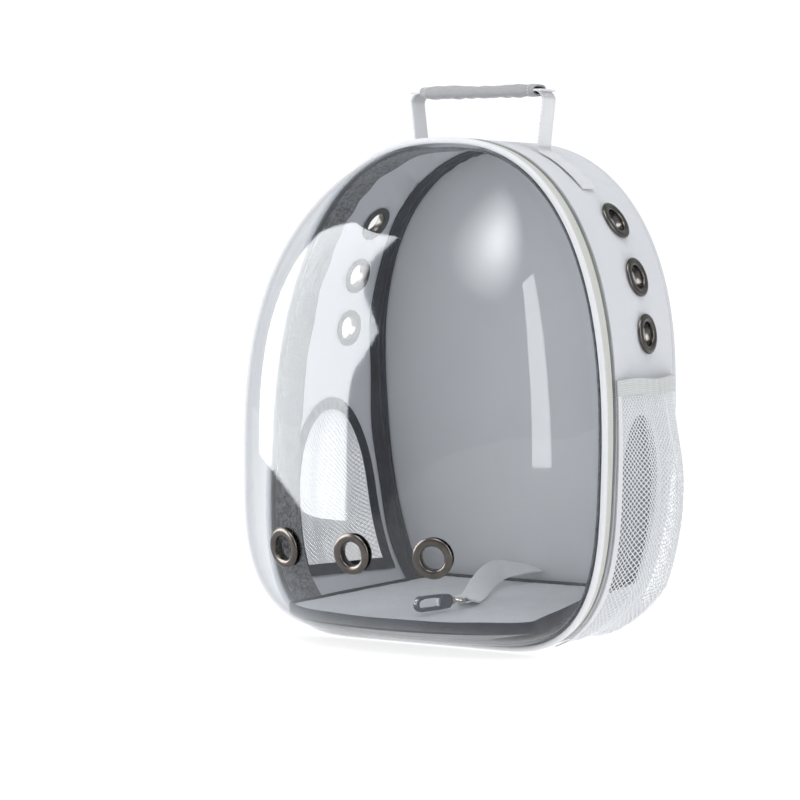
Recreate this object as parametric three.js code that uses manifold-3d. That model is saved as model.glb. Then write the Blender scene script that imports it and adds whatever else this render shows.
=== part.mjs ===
// Bubble pet carrier backpack: a clear moulded front shell, an arched fabric body with eyelets,
// net side pockets, a carrying handle, shoulder straps, a floor cushion and a safety leash.
// Millimetres, +Z up, the clear shell looks towards -Y. The body is a ruled wall between two arch
// outlines: the rim, which leans back, and the smaller rear outline, which leans forward.
import * as THREE from 'three';
import { mergeVertices } from 'three/addons/utils/BufferGeometryUtils.js';
import Module from 'manifold-3d';

// Driving dimensions

const rim = {
  halfWidth: 170, height: 424, flatHalf: 68, widestAt: 140, lowerPower: 3, upperPower: 2.4,
  behind: 0, lean: 22,
};
const rear = {
  halfWidth: 149, height: 422, flatHalf: 74, widestAt: 227, lowerPower: 2.1, upperPower: 2.25,
  behind: 168, lean: -20,
};
const AROUND = 48; // facets round the arch
const clearance = 0.3; // between pieces that touch on the real thing
const facetSlack = 0.5; // extra room where a flat facet may stand off a curved one

const shellWall = 1.8;
const shellFlange = 20; // reach of the shell under the piping, tape and zip
const bubble = {
  depth: 113, lowerBlend: 115, lowerPower: 2.4, upperFrom: 150, upperPower: 3.2,
  squareLow: 2.05, squareHigh: 3.1, rows: 8,
};

const pipingRadius = 2.6;
const tapeWidth = 11.5;
const tapeThick = 1.2;
const tapeInset = 1;
const chainWidth = 5;
const chainThick = 2.4;
const chainInset = 0.4;
const bodyWall = 3;
const facingWidth = 30;
const facingThick = 1.2;
const facingFrom = 6;
const cornerBindingWidth = 20;
const cornerBindingThick = 1.6;

const eyelet = { holeRadius: 10, outerRadius: 17, barrel: 2, flange: 2.3, lip: 1.3, sides: 12 };
const frontEyelets = { height: 86, spacing: 72.7 };
const sideEyelets = { highest: 354, spacing: 47, share: 0.64 };

const windowCut = { low: 47, high: 194, width: 100, share: 0.51, shoulder: 0.45 };
const windowBinding = { width: 8, overlap: 4, thick: 1.2 };
const meshThick = 0.8;

const pocket = { low: 9, high: 212, band: 12, wall: 1.2, bulge: 13, rearShare: 0.975 };

const panel = { edge: 5, pad: 10 };

const webbing = { width: 20, thick: 1.6 };
const handle = {
  share: 0.54, footHalf: 63, topHalf: 66, rise: 464, sewnTo: 380, corner: 9,
};
const grip = { length: 114, width: 25, thick: 12, endScale: 0.82 };

const cushion = {
  boardTop: 22, top: 31, frontGap: 5, sideGap: 5, rearGap: 7, tuck: 16, steps: 14,
};
const cushionEdge = { thick: 3.2, lift: 6, rearLift: 2 };

const leash = {
  width: 20, thick: 1.5, rootX: 10, endX: 26, endY: 4, fold: 8, foldThick: 5,
};
const clip = {
  heading: 11, length: 42, width: 13, thick: 5, base: 15, wire: 3.2, gateWidth: 2.4,
  pin: 1.9, pinDepth: 6,
};
const eyeRing = { radius: 5.6, wire: 1.3 };

const strapPad = { thick: 9, rise: 26 };
const strapWeb = { width: 25, thick: 1.8 };
const buckle = { width: 34, height: 18, thick: 4.4, bar: 4 };
const yoke = { width: 128, height: 26, thick: 3 };

// Materials, one for each mesh so that a piece can be recoloured alone

const finishes = {
  clear: { color: 0xdfe4e8, roughness: 0.05, metalness: 0, transparent: true, opacity: 0.35 },
  whiteFabric: { color: 0xdfe1e6, roughness: 0.75, metalness: 0 },
  piping: { color: 0xf2f2f4, roughness: 0.6, metalness: 0 },
  tape: { color: 0xd9d9d2, roughness: 0.85, metalness: 0 },
  teeth: { color: 0x8b8f8a, roughness: 0.5, metalness: 0.1 },
  darkKnit: { color: 0x6f7176, roughness: 0.9, metalness: 0 },
  charcoal: { color: 0x3c3f47, roughness: 0.95, metalness: 0 },
  net: { color: 0xd5d8dd, roughness: 0.8, metalness: 0 },
  gunmetal: { color: 0x5a514b, roughness: 0.25, metalness: 1 },
  webbing: { color: 0xe4e5e8, roughness: 0.8, metalness: 0 },
  gripFabric: { color: 0xb4b6b9, roughness: 0.8, metalness: 0 },
  plush: { color: 0xeceef2, roughness: 1, metalness: 0 },
  steel: { color: 0xc9c9c9, roughness: 0.25, metalness: 1 },
  slate: { color: 0x4a5262, roughness: 0.45, metalness: 0.1 },
  greyPanel: { color: 0x9b9fa4, roughness: 0.7, metalness: 0 },
  plastic: { color: 0xb9bcc0, roughness: 0.45, metalness: 0 },
};

const carrier = new THREE.Group();

function add(name, finish, geometry, parent = carrier) {
  const mesh = new THREE.Mesh(geometry, new THREE.MeshStandardMaterial(finishes[finish]));
  mesh.name = name;
  parent.add(mesh);
  return mesh;
}

// Closed solids from sections

// Joins doubled corners and drops the slivers that a pole leaves, with the faces turned outwards.
function weld(geometry) {
  const bare = geometry.index ? geometry.toNonIndexed() : geometry.clone();
  bare.deleteAttribute('normal');
  bare.deleteAttribute('uv');
  const merged = mergeVertices(bare, 1e-3);
  const index = merged.index.array;
  const position = merged.attributes.position;
  const [a, b, c] = [new THREE.Vector3(), new THREE.Vector3(), new THREE.Vector3()];
  let kept = [];
  let volume = 0;
  for (let i = 0; i < index.length; i += 3) {
    const [p, q, r] = index.slice(i, i + 3);
    if (p === q || q === r || r === p) continue;
    kept.push(p, q, r);
    a.fromBufferAttribute(position, p);
    b.fromBufferAttribute(position, q);
    c.fromBufferAttribute(position, r);
    volume += a.dot(b.cross(c));
  }
  if (volume < 0) kept = kept.reverse();
  merged.setIndex(kept);
  return merged;
}

// A solid skinned over sections of equal length. A section runs once round the piece, so that its
// corner k faces corner n-1-k, which is how the two ends are closed. A loop has no ends.
function sweep(sections, loop = false) {
  const count = sections[0].length;
  const positions = [];
  const triangle = (...corners) => corners.forEach((p) => positions.push(p.x, p.y, p.z));
  const spans = loop ? sections.length : sections.length - 1;
  for (let i = 0; i < spans; i++) {
    const here = sections[i];
    const next = sections[(i + 1) % sections.length];
    for (let k = 0; k < count; k++) {
      const l = (k + 1) % count;
      triangle(here[k], here[l], next[l]);
      triangle(here[k], next[l], next[k]);
    }
  }
  if (!loop) {
    const first = sections[0];
    const last = sections[sections.length - 1];
    for (let k = 0; k < count / 2 - 1; k++) {
      const m = count - 1 - k;
      triangle(first[k], first[m], first[m - 1]);
      triangle(first[k], first[m - 1], first[k + 1]);
      triangle(last[k], last[m - 1], last[m]);
      triangle(last[k], last[k + 1], last[m - 1]);
    }
  }
  const geometry = new THREE.BufferGeometry();
  geometry.setAttribute('position', new THREE.Float32BufferAttribute(positions, 3));
  return weld(geometry);
}

const wasm = await Module();
wasm.setup();

function toSolid(geometry) {
  const welded = weld(geometry);
  return new wasm.Manifold(new wasm.Mesh({
    numProp: 3,
    vertProperties: new Float32Array(welded.attributes.position.array),
    triVerts: new Uint32Array(welded.index.array),
  }));
}

function toGeometry(solid) {
  const mesh = solid.getMesh();
  const geometry = new THREE.BufferGeometry();
  geometry.setAttribute('position', new THREE.Float32BufferAttribute(mesh.vertProperties, 3));
  geometry.setIndex(new THREE.Uint32BufferAttribute(mesh.triVerts, 1));
  return weld(geometry);
}

const cut = (body, ...tools) => toGeometry(
  tools.reduce((left, tool) => left.subtract(toSolid(tool)), toSolid(body)));

const join = (...pieces) => toGeometry(
  pieces.map(toSolid).reduce((whole, piece) => whole.add(piece)));

// The arch outlines

function archHalf(outline, steps = 90) {
  const { halfWidth: w, height: h, flatHalf: f, widestAt: m } = outline;
  const points = [new THREE.Vector2(0, 0)];
  for (let i = 0; i <= steps; i++) {
    const a = (Math.PI / 2) * (1 - i / steps);
    const x = f + (w - f) * Math.cos(a) ** (2 / outline.lowerPower);
    points.push(new THREE.Vector2(x, m * (1 - Math.sin(a) ** (2 / outline.lowerPower))));
  }
  for (let i = 1; i <= steps; i++) {
    const a = (Math.PI / 2) * (i / steps);
    const x = i === steps ? 0 : w * Math.cos(a) ** (2 / outline.upperPower);
    points.push(new THREE.Vector2(x, m + (h - m) * Math.sin(a) ** (2 / outline.upperPower)));
  }
  return points;
}

function withLengths(points) {
  const lengths = [0];
  for (let i = 1; i < points.length; i++) {
    lengths.push(lengths[i - 1] + points[i].distanceTo(points[i - 1]));
  }
  return { points, lengths, total: lengths[lengths.length - 1] };
}

const halves = new Map([rim, rear].map((outline) => [outline, withLengths(archHalf(outline))]));

// A point of an outline: share 0 at the bottom centre, 1 at the top centre, on to 2 down the left.
function outlinePoint(outline, share) {
  const { points, lengths, total } = halves.get(outline);
  const round = ((share % 2) + 2) % 2;
  const side = round > 1 ? -1 : 1;
  const target = (round > 1 ? 2 - round : round) * total;
  let i = 1;
  while (i < points.length - 1 && lengths[i] < target) i++;
  const mix = (target - lengths[i - 1]) / (lengths[i] - lengths[i - 1]);
  const p = points[i - 1].clone().lerp(points[i], mix);
  const y = outline.behind + outline.lean * (p.y / outline.height);
  return new THREE.Vector3(side * p.x, y, p.y);
}

// Stations round the arch, closer together where the rim bends more.
function stationShares(count) {
  const fine = 240;
  const at = (i) => outlinePoint(rim, i / fine);
  const turns = [];
  for (let i = 0; i < fine; i++) {
    const before = i === 0 ? new THREE.Vector3(1, 0, 0) : at(i).sub(at(i - 1));
    turns.push(before.angleTo(at(i + 1).sub(at(i))));
  }
  const turning = turns.reduce((sum, turn) => sum + turn, 0);
  const weights = turns.map((turn) => (1 / fine + turn / turning) / 2);
  const right = [];
  let passed = 0;
  let next = 0;
  for (let i = 0; i < fine && next < count / 2; i++) {
    while (next < count / 2 && passed + weights[i] >= next / (count / 2)) {
      right.push((i + (next / (count / 2) - passed) / weights[i]) / fine);
      next++;
    }
    passed += weights[i];
  }
  const left = right.slice(1).map((share) => 2 - share).reverse();
  return [...right, 1, ...left];
}

const stations = stationShares(AROUND);

// The ruled wall: share round the arch, depth 0 at the rim and 1 at the rear, then out of the wall.
function wallBare(share, depth) {
  return outlinePoint(rim, share).lerp(outlinePoint(rear, share), depth);
}

function wallNormal(share, depth) {
  const step = 2e-3;
  const along = wallBare(share + step, depth).sub(wallBare(share - step, depth));
  const back = wallBare(share, depth + step).sub(wallBare(share, depth - step));
  return back.cross(along).normalize();
}

function wallPoint(share, depth, out = 0) {
  return wallBare(share, depth).addScaledVector(wallNormal(share, depth), out);
}

// The same wall, with the depth in millimetres behind the rim.
function wallBack(share, back, out = 0) {
  const length = outlinePoint(rim, share).distanceTo(outlinePoint(rear, share));
  return wallPoint(share, back / length, out);
}

const wallDepthAt = (back) => back / (rear.behind - rim.behind);

// The share round the arch at which the wall reaches a height, at a depth, on its right side.
function shareAtHeight(height, depth) {
  let [low, high] = [0, 1];
  for (let i = 0; i < 40; i++) {
    const middle = (low + high) / 2;
    if (wallBare(middle, depth).z < height) low = middle;
    else high = middle;
  }
  return low;
}

function sideWall(side, height, depth, out = 0) {
  const share = shareAtHeight(height, depth);
  return wallPoint(side > 0 ? share : 2 - share, depth, out);
}

const loopBand = (frontBack, rearBack, outer, inner) => sweep(stations.map((share) => [
  wallBack(share, frontBack, outer), wallBack(share, rearBack, outer),
  wallBack(share, rearBack, inner), wallBack(share, frontBack, inner),
]), true);

// Where each layer lies, worked out from the sizes above

const flangeTop = -(2 * pipingRadius + clearance);
const tapeFront = clearance + 2 * pipingRadius + clearance;
const tapeRear = tapeFront + tapeWidth;
const chainFront = tapeRear + clearance;
const chainRear = chainFront + chainWidth;
const bodyFront = chainRear + clearance;
const facingOut = flangeTop - shellWall - clearance - facetSlack;

// The clear shell

const bubblePole = new THREE.Vector2(0, bubble.upperFrom);

function bubbleDepth(height) {
  if (height < bubble.lowerBlend) {
    const fall = (bubble.lowerBlend - height) / bubble.lowerBlend;
    return bubble.depth * (1 - fall ** bubble.lowerPower) ** (1 / bubble.lowerPower);
  }
  const rise = Math.max(0, height - bubble.upperFrom) / (rim.height - bubble.upperFrom);
  return bubble.depth * (1 - rise ** bubble.upperPower);
}

function rimHalfWidth(height) {
  const { points } = halves.get(rim);
  let i = 2;
  while (i < points.length - 1 && points[i].y < height) i++;
  const mix = (height - points[i - 1].y) / (points[i].y - points[i - 1].y);
  return points[i - 1].x + (points[i].x - points[i - 1].x) * mix;
}

function bubblePoint(share, angle) {
  const reach = Math.sin(angle);
  const edge = outlinePoint(rim, share);
  const inset = wallPoint(share, 0, flangeTop);
  const plain = bubblePole.clone().lerp(new THREE.Vector2(edge.x, edge.z), reach);
  const place = bubblePole.clone().lerp(new THREE.Vector2(inset.x, inset.z), reach);
  const lift = plain.y / rim.height;
  const power = bubble.squareLow + (bubble.squareHigh - bubble.squareLow) * lift;
  const across = Math.min(1, Math.abs(plain.x) / Math.max(1e-6, rimHalfWidth(plain.y)));
  const bulge = bubbleDepth(plain.y) * (1 - across ** power) ** (1 / power);
  const forward = angle >= Math.PI / 2 ? 0 : bulge;
  return new THREE.Vector3(place.x, rim.lean * (place.y / rim.height) - forward, place.y);
}

function bubbleNormal(share, angle) {
  const step = 0.01;
  const steeper = Math.min(angle + step, Math.PI / 2 - 1e-4);
  const out = bubblePoint(share, steeper).sub(bubblePoint(share, steeper - 2 * step));
  const round = bubblePoint(share + step, angle).sub(bubblePoint(share - step, angle));
  return out.cross(round).normalize();
}

function bubbleInner(share, angle) {
  if (angle === 0) return bubblePoint(share, 0).add(new THREE.Vector3(0, shellWall, 0));
  return bubblePoint(share, angle).addScaledVector(bubbleNormal(share, angle), -shellWall);
}

function makeShell() {
  const angles = Array.from({ length: bubble.rows }, (_, i) => (Math.PI / 2) * (i / bubble.rows));
  return sweep(stations.map((share) => [
    ...angles.map((angle) => bubblePoint(share, angle)),
    wallBack(share, 0, flangeTop), wallBack(share, shellFlange, flangeTop),
    wallBack(share, shellFlange, flangeTop - shellWall), wallBack(share, 0, flangeTop - shellWall),
    ...angles.map((angle) => bubbleInner(share, angle)).reverse(),
  ]), true);
}

// The place on the bubble that lies over a point of the rim plane.
function bubbleAt(x, height) {
  let best = null;
  for (let i = 0; i <= 200; i++) {
    const share = x >= 0 ? i / 200 : 2 - i / 200;
    const end = bubblePoint(share, Math.PI / 2);
    const towards = new THREE.Vector2(end.x, end.z).sub(bubblePole);
    const wanted = new THREE.Vector2(x, height).sub(bubblePole);
    const turn = Math.abs(wanted.angle() - towards.angle());
    if (!best || turn < best.turn) {
      best = { turn, share, angle: Math.asin(wanted.length() / towards.length()) };
    }
  }
  return { point: bubblePoint(best.share, best.angle), normal: bubbleNormal(best.share, best.angle) };
}

// Eyelets: a spool that grips a wall, placed with its axis along the wall's normal

const eyeletHole = (eyelet.holeRadius + eyelet.barrel + clearance) / Math.cos(Math.PI / eyelet.sides);

function eyeletSpool(wall, bend) {
  const sag = eyelet.outerRadius ** 2 / (2 * bend);
  const { holeRadius: hole, outerRadius: outer, flange, lip } = eyelet;
  const barrel = hole + eyelet.barrel;
  const seat = clearance + facetSlack;
  const under = -(wall + sag + clearance + facetSlack);
  const crest = (hole + outer) / 2;
  const profile = [
    [hole, seat + lip], [crest, seat + flange], [outer, seat + lip / 2], [outer, seat],
    [barrel, seat], [barrel, under], [outer - 0.5, under], [outer - 1, under - lip],
    [hole, under - lip],
  ];
  const ring = profile.concat([profile[0]]).map(([x, y]) => new THREE.Vector2(x, y));
  return weld(new THREE.LatheGeometry(ring, eyelet.sides).rotateX(Math.PI / 2));
}

function placeOn(mesh, { point, normal }) {
  mesh.position.copy(point);
  mesh.quaternion.setFromUnitVectors(new THREE.Vector3(0, 0, 1), normal);
  mesh.updateMatrixWorld(true);
  return mesh;
}

function holeCutter(place, length) {
  const drill = new THREE.CylinderGeometry(eyeletHole, eyeletHole, length, eyelet.sides);
  const turn = new THREE.Matrix4().compose(
    place.point,
    new THREE.Quaternion().setFromUnitVectors(new THREE.Vector3(0, 1, 0), place.normal),
    new THREE.Vector3(1, 1, 1));
  return drill.applyMatrix4(turn);
}

const frontPlaces = [-1, 0, 1].map((step) => bubbleAt(step * frontEyelets.spacing, frontEyelets.height));
const sidePlaces = (side) => [0, 1, 2].map((step) => {
  const height = sideEyelets.highest - step * sideEyelets.spacing;
  const share = shareAtHeight(height, sideEyelets.share);
  const round = side > 0 ? share : 2 - share;
  return { point: wallPoint(round, sideEyelets.share), normal: wallNormal(round, sideEyelets.share) };
});

const drillLength = 40;
const bubbleBend = 75; // tightest bend of the shell under an eyelet
const wallBend = 150; // and of the fabric wall

add('shell', 'clear', cut(makeShell(), ...frontPlaces.map((place) => holeCutter(place, drillLength))));
frontPlaces.forEach((place, i) => {
  placeOn(add(`shell_eyelet_${i + 1}`, 'gunmetal', eyeletSpool(shellWall, bubbleBend)), place);
});

// Piping, tape and zip round the rim

const pipingSides = 6;
add('shell_piping', 'piping', sweep(stations.map((share) => Array.from({ length: pipingSides }, (_, k) => {
  const turn = (2 * Math.PI * (k + 0.5)) / pipingSides;
  const flatten = pipingRadius / Math.cos(Math.PI / pipingSides);
  return wallBack(share, clearance + pipingRadius + pipingRadius * Math.cos(turn),
    -pipingRadius + flatten * Math.cos(Math.PI / pipingSides) * Math.sin(turn));
})), true));
add('zip_tape', 'tape', loopBand(tapeFront, tapeRear, -tapeInset, -tapeInset - tapeThick));
add('zip_chain', 'teeth', loopBand(chainFront, chainRear, -chainInset, -chainInset - chainThick));
add('zip_facing', 'darkKnit',
  loopBand(facingFrom, facingFrom + facingWidth, facingOut, facingOut - facingThick));

// The zip's slider with its pull, on the left side low down

const sliderBody = { length: 11, width: 8, thick: 3.4, height: 252 };
const sliderPull = { length: 24, width: 6, thick: 1.6 };
function makeSlider() {
  const body = new THREE.BoxGeometry(sliderBody.thick, sliderBody.width, sliderBody.length);
  const pull = new THREE.BoxGeometry(sliderPull.thick, sliderPull.width, sliderPull.length);
  pull.translate(-sliderBody.thick / 4, 0, -sliderPull.length / 2);
  return join(body, pull);
}
{
  const depth = wallDepthAt((chainFront + chainRear) / 2);
  const share = 2 - shareAtHeight(sliderBody.height, depth);
  const slider = add('zip_slider', 'steel', makeSlider());
  const out = clearance + sliderBody.thick / 2;
  slider.position.copy(wallPoint(share, depth, out));
  const up = wallBare(share - 0.01, depth).sub(wallBare(share + 0.01, depth)).normalize();
  const normal = wallNormal(share, depth);
  const across = up.clone().cross(normal).normalize();
  slider.quaternion.setFromRotationMatrix(
    new THREE.Matrix4().makeBasis(normal.clone().negate(), across, up));
}

// The fabric body, with eyelet holes and an arched window on each side

function archPatch(side, outer, inner, grow = 0, rows = 8, columns = 3) {
  const span = rear.behind - rim.behind;
  const [low, high] = [windowCut.low - grow, windowCut.high + grow];
  const half = (windowCut.width / 2 + grow) / span;
  const sections = [];
  for (let i = 0; i <= rows; i++) {
    const rise = i / rows;
    const shoulder = Math.max(0, rise - windowCut.shoulder) / (1 - windowCut.shoulder);
    const width = half * Math.max(0.16, Math.sqrt(Math.max(0, 1 - shoulder ** 2.2)));
    const height = low + (high - low) * rise;
    const row = (out) => Array.from({ length: columns + 1 }, (_, k) => sideWall(
      side, height, windowCut.share + width * ((2 * k) / columns - 1), out));
    sections.push([...row(outer), ...row(inner).reverse()]);
  }
  return sweep(sections);
}

function windowEdge(grow, steps = 8) {
  const span = rear.behind - rim.behind;
  const [low, high] = [windowCut.low - grow, windowCut.high + grow];
  const half = (windowCut.width / 2 + grow) / span;
  const rightSide = [];
  for (let i = 0; i <= steps; i++) {
    const rise = i / steps;
    const shoulder = Math.max(0, rise - windowCut.shoulder) / (1 - windowCut.shoulder);
    const width = half * Math.max(0.16, Math.sqrt(Math.max(0, 1 - shoulder ** 2.2)));
    rightSide.push([width, low + (high - low) * rise]);
  }
  const leftSide = rightSide.map(([width, height]) => [-width, height]).reverse();
  return [...rightSide, ...leftSide].map(([width, height]) => [windowCut.share + width, height]);
}

const gussetRows = [0, 0.5, 1];
const bodyRearGap = clearance;
function makeGusset() {
  return sweep(stations.map((share) => {
    const length = outlinePoint(rim, share).distanceTo(outlinePoint(rear, share));
    const backs = gussetRows.map((row) => bodyFront + (length - bodyRearGap - bodyFront) * row);
    return [
      ...backs.map((back) => wallBack(share, back, 0)),
      ...backs.map((back) => wallBack(share, back, -bodyWall)).reverse(),
    ];
  }), true);
}

const windowReach = 12;
add('body_gusset', 'whiteFabric', cut(makeGusset(),
  ...[-1, 1].flatMap((side) => sidePlaces(side).map((place) => holeCutter(place, drillLength))),
  ...[-1, 1].map((side) => archPatch(side, windowReach, -windowReach))));

for (const [word, side] of [['left', -1], ['right', 1]]) {
  sidePlaces(side).forEach((place, i) => {
    placeOn(add(`side_eyelet_${word}_${i + 1}`, 'gunmetal', eyeletSpool(bodyWall, wallBend)), place);
  });

  // Net set in the window, behind a bound edge on the inner face
  const bindingOut = -bodyWall - clearance - facetSlack;
  const meshOut = bindingOut + clearance + facetSlack + meshThick;
  add(`window_mesh_${word}`, 'net', archPatch(side, meshOut, meshOut - meshThick, -clearance - facetSlack));
  const outerEdge = windowEdge(windowBinding.overlap);
  const innerEdge = windowEdge(windowBinding.overlap - windowBinding.width);
  add(`window_binding_${word}`, 'charcoal', sweep(outerEdge.map(([depth, height], i) => [
    sideWall(side, height, depth, bindingOut),
    sideWall(side, innerEdge[i][1], innerEdge[i][0], bindingOut),
    sideWall(side, innerEdge[i][1], innerEdge[i][0], bindingOut - windowBinding.thick),
    sideWall(side, height, depth, bindingOut - windowBinding.thick),
  ]), true));
}

// Net side pockets with an elastic band along the mouth

const pocketSeat = clearance + facetSlack;
function pocketOut(across, rise) {
  const belly = Math.sin(Math.PI * across) ** 0.7;
  const lift = Math.min(1, rise / 0.22) ** 0.6 * (1 - 0.25 * Math.max(0, rise - 0.5) / 0.5);
  return pocketSeat + pocket.bulge * belly * lift;
}

// Rows up the pocket, each a share round the arch for a given depth: along the wall's own facets
// round the bottom corner, and level higher up.
function pocketRows(levels) {
  const lowest = shareAtHeight(pocket.low, 0.5);
  const straight = shareAtHeight(pocket.high * 0.55, 0.5);
  const bent = stations.filter((share) => share > lowest + 0.01 && share < straight);
  return [
    ...[lowest, ...bent].map((share) => () => share),
    ...levels.map((level) => (depth) => shareAtHeight(pocket.high * level, depth)),
  ];
}

function pocketSheet(side, rows, extra, columns = 7) {
  const front = wallDepthAt(bodyFront + 1.5);
  return sweep(rows.map((shareAt) => {
    const row = (thick) => Array.from({ length: columns + 1 }, (_, k) => {
      const across = k / columns;
      const depth = front + (pocket.rearShare - front) * across;
      const share = shareAt(depth);
      const rise = (wallBare(share, depth).z - pocket.low) / (pocket.high - pocket.low);
      const round = side > 0 ? share : 2 - share;
      return wallPoint(round, depth, pocketOut(across, Math.max(0, rise)) + thick);
    });
    return [...row(pocket.wall + extra), ...row(0).reverse()];
  }));
}

const bandRows = [pocket.high + clearance, pocket.high + clearance + pocket.band].map((height) => (
  (depth) => shareAtHeight(height, depth)));
for (const [word, side] of [['left', -1], ['right', 1]]) {
  add(`pocket_net_${word}`, 'net', pocketSheet(side, pocketRows([0.7, 0.85, 1]), 0));
  add(`pocket_band_${word}`, 'tape', pocketSheet(side, bandRows, 0.6));
}

// The back panel, a padded board inside the rear outline, and the dark binding round its corner

const rearY = (height) => rear.behind + rear.lean * (height / rear.height);
const panelMiddle = 0.5;
function makeBackPanel() {
  const pole = new THREE.Vector3(0, rearY(rear.height * panelMiddle), rear.height * panelMiddle);
  const ring = (share, reach, thick) => {
    const p = pole.clone().lerp(outlinePoint(rear, share), reach);
    return new THREE.Vector3(p.x, p.y + thick, p.z);
  };
  return sweep(stations.map((share) => [
    ring(share, 0, 0), ring(share, 0.5, 0), ring(share, 1, 0), ring(share, 1, panel.edge),
    ring(share, 0.93, panel.pad), ring(share, 0.5, panel.pad), ring(share, 0, panel.pad), ring(share, 0, 5),
  ]), true);
}
add('back_panel', 'greyPanel', makeBackPanel());

const cornerOut = -bodyWall - clearance - facetSlack;
add('corner_binding', 'charcoal', sweep(stations.map((share) => {
  const length = outlinePoint(rim, share).distanceTo(outlinePoint(rear, share));
  const rearBack = length - clearance - facetSlack;
  const frontBack = rearBack - cornerBindingWidth;
  return [
    wallBack(share, frontBack, cornerOut), wallBack(share, rearBack, cornerOut),
    wallBack(share, rearBack, cornerOut - cornerBindingThick),
    wallBack(share, frontBack, cornerOut - cornerBindingThick),
  ];
}), true));

// Carrying handle: one length of webbing sewn along the arch, up one leg, through the grip and down

function ribbon(path, width, thick) {
  return sweep(path.map(({ at, across, normal, wide = width }) => {
    const a = across.clone().multiplyScalar(wide / 2);
    const n = normal.clone().multiplyScalar(thick / 2);
    return [
      at.clone().add(a).add(n), at.clone().sub(a).add(n),
      at.clone().sub(a).sub(n), at.clone().add(a).sub(n),
    ];
  }));
}

function handlePath() {
  const seat = clearance + facetSlack + webbing.thick / 2;
  const across = wallBare(1, handle.share + 0.1).sub(wallBare(1, handle.share - 0.1)).normalize();
  const footHeight = wallHeightAt(handle.footHalf, handle.share);
  const centreY = wallBare(1, handle.share).y;
  const side = [];
  const steps = 4;
  for (let i = 0; i <= steps; i++) {
    const height = handle.sewnTo + (footHeight - handle.sewnTo) * (i / steps);
    const share = shareAtHeight(height, handle.share);
    side.push({
      at: wallPoint(share, handle.share, seat), across, normal: wallNormal(share, handle.share),
    });
  }
  const foot = side[side.length - 1].at;
  const leg = (mix, x, z, angle) => side.push({
    at: new THREE.Vector3(x, foot.y + (centreY - foot.y) * mix, z), across,
    normal: new THREE.Vector3(Math.cos(angle), 0, Math.sin(angle)),
  });
  const top = handle.rise;
  const bend = 2.2;
  leg(0.1, foot.x - bend, foot.z + bend * 1.6, Math.PI * 0.2);
  leg(0.2, foot.x - bend * 0.9, foot.z + bend * 3.2, Math.PI * 0.04);
  leg(0.6, handle.footHalf + (handle.topHalf - handle.footHalf) * 0.3, (foot.z + top) / 2, 0);
  for (let i = 0; i <= 4; i++) {
    const a = (Math.PI / 2) * (i / 4);
    leg(1, handle.topHalf - handle.corner * (1 - Math.cos(a)),
      top - handle.corner * (1 - Math.sin(a)), a);
  }
  const mirrored = side.map(({ at, across: a, normal }) => ({
    at: new THREE.Vector3(-at.x, at.y, at.z), across: a,
    normal: new THREE.Vector3(-normal.x, normal.y, normal.z),
  })).reverse();
  return [...side, ...mirrored];
}

function wallHeightAt(x, depth) {
  let [low, high] = [0.5, 1];
  for (let i = 0; i < 40; i++) {
    const middle = (low + high) / 2;
    if (wallBare(middle, depth).x > x) low = middle;
    else high = middle;
  }
  return wallBare(low, depth).z;
}

const handleRoute = handlePath();
add('handle_webbing', 'webbing', ribbon(handleRoute, webbing.width, webbing.thick));

function ovalLoop(width, height, sides) {
  return Array.from({ length: sides }, (_, k) => {
    const a = (2 * Math.PI * (k + 0.5)) / sides;
    const squash = (v) => Math.sign(v) * Math.abs(v) ** 0.6;
    return [(width / 2) * squash(Math.cos(a)), (height / 2) * squash(Math.sin(a))];
  });
}

function makeGrip() {
  const centre = wallBare(1, handle.share);
  const slot = { width: webbing.width + 4 * clearance, thick: webbing.thick + 4 * clearance };
  const sides = 12;
  const sections = (width, thick, ends) => [-1, -0.9, 0, 0.9, 1].map((step) => {
    const scale = Math.abs(step) === 1 ? ends : 1;
    const x = step * (grip.length / 2);
    return ovalLoop(width * scale, thick * scale, sides).map(([y, z]) => (
      new THREE.Vector3(x, centre.y + y, handle.rise + z)));
  });
  const sleeve = sweep(sections(grip.width, grip.thick, grip.endScale));
  const slotBox = new THREE.BoxGeometry(grip.length + 10, slot.width, slot.thick);
  slotBox.translate(0, centre.y, handle.rise);
  return cut(sleeve, slotBox);
}
add('handle_grip', 'gripFabric', makeGrip());

// Floor cushion: a dark board on the floor, a plush top, and a standing edge all round

const floorOut = facingOut - facingThick; // how far in the deepest lining stands
const boardLow = -floorOut + clearance;

// Half the width between the linings at a height, some way behind the rim.
function insideHalf(height, back) {
  let [low, high] = [0, 0.9];
  for (let i = 0; i < 40; i++) {
    const middle = (low + high) / 2;
    if (wallBack(middle, back, floorOut).z < height) low = middle;
    else high = middle;
  }
  return wallBack(low, back, floorOut).x;
}

// The cushion's D-shaped outline: it follows the bubble in front and stops short of the back panel.
function cushionOutline(height, inset, at = height) {
  const place = (x, y) => new THREE.Vector3(x, y, at);
  const frontX = insideHalf(height, facingFrom) - cushion.sideGap - inset;
  const points = [];
  for (let i = 0; i <= cushion.steps; i++) {
    const x = frontX * Math.cos(Math.PI * (i / cushion.steps));
    const front = bubbleAt(x, height).point.y + shellWall + cushion.frontGap + inset;
    points.push(place(x, Math.min(front, facingFrom)));
  }
  const rearLine = rearY(height) - cushion.rearGap - inset;
  const rearX = insideHalf(height, rearLine) - cushion.sideGap - inset;
  for (const step of [-1, -0.5, 0, 0.5, 1]) points.push(place(step * rearX, rearLine));
  return points;
}

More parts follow.
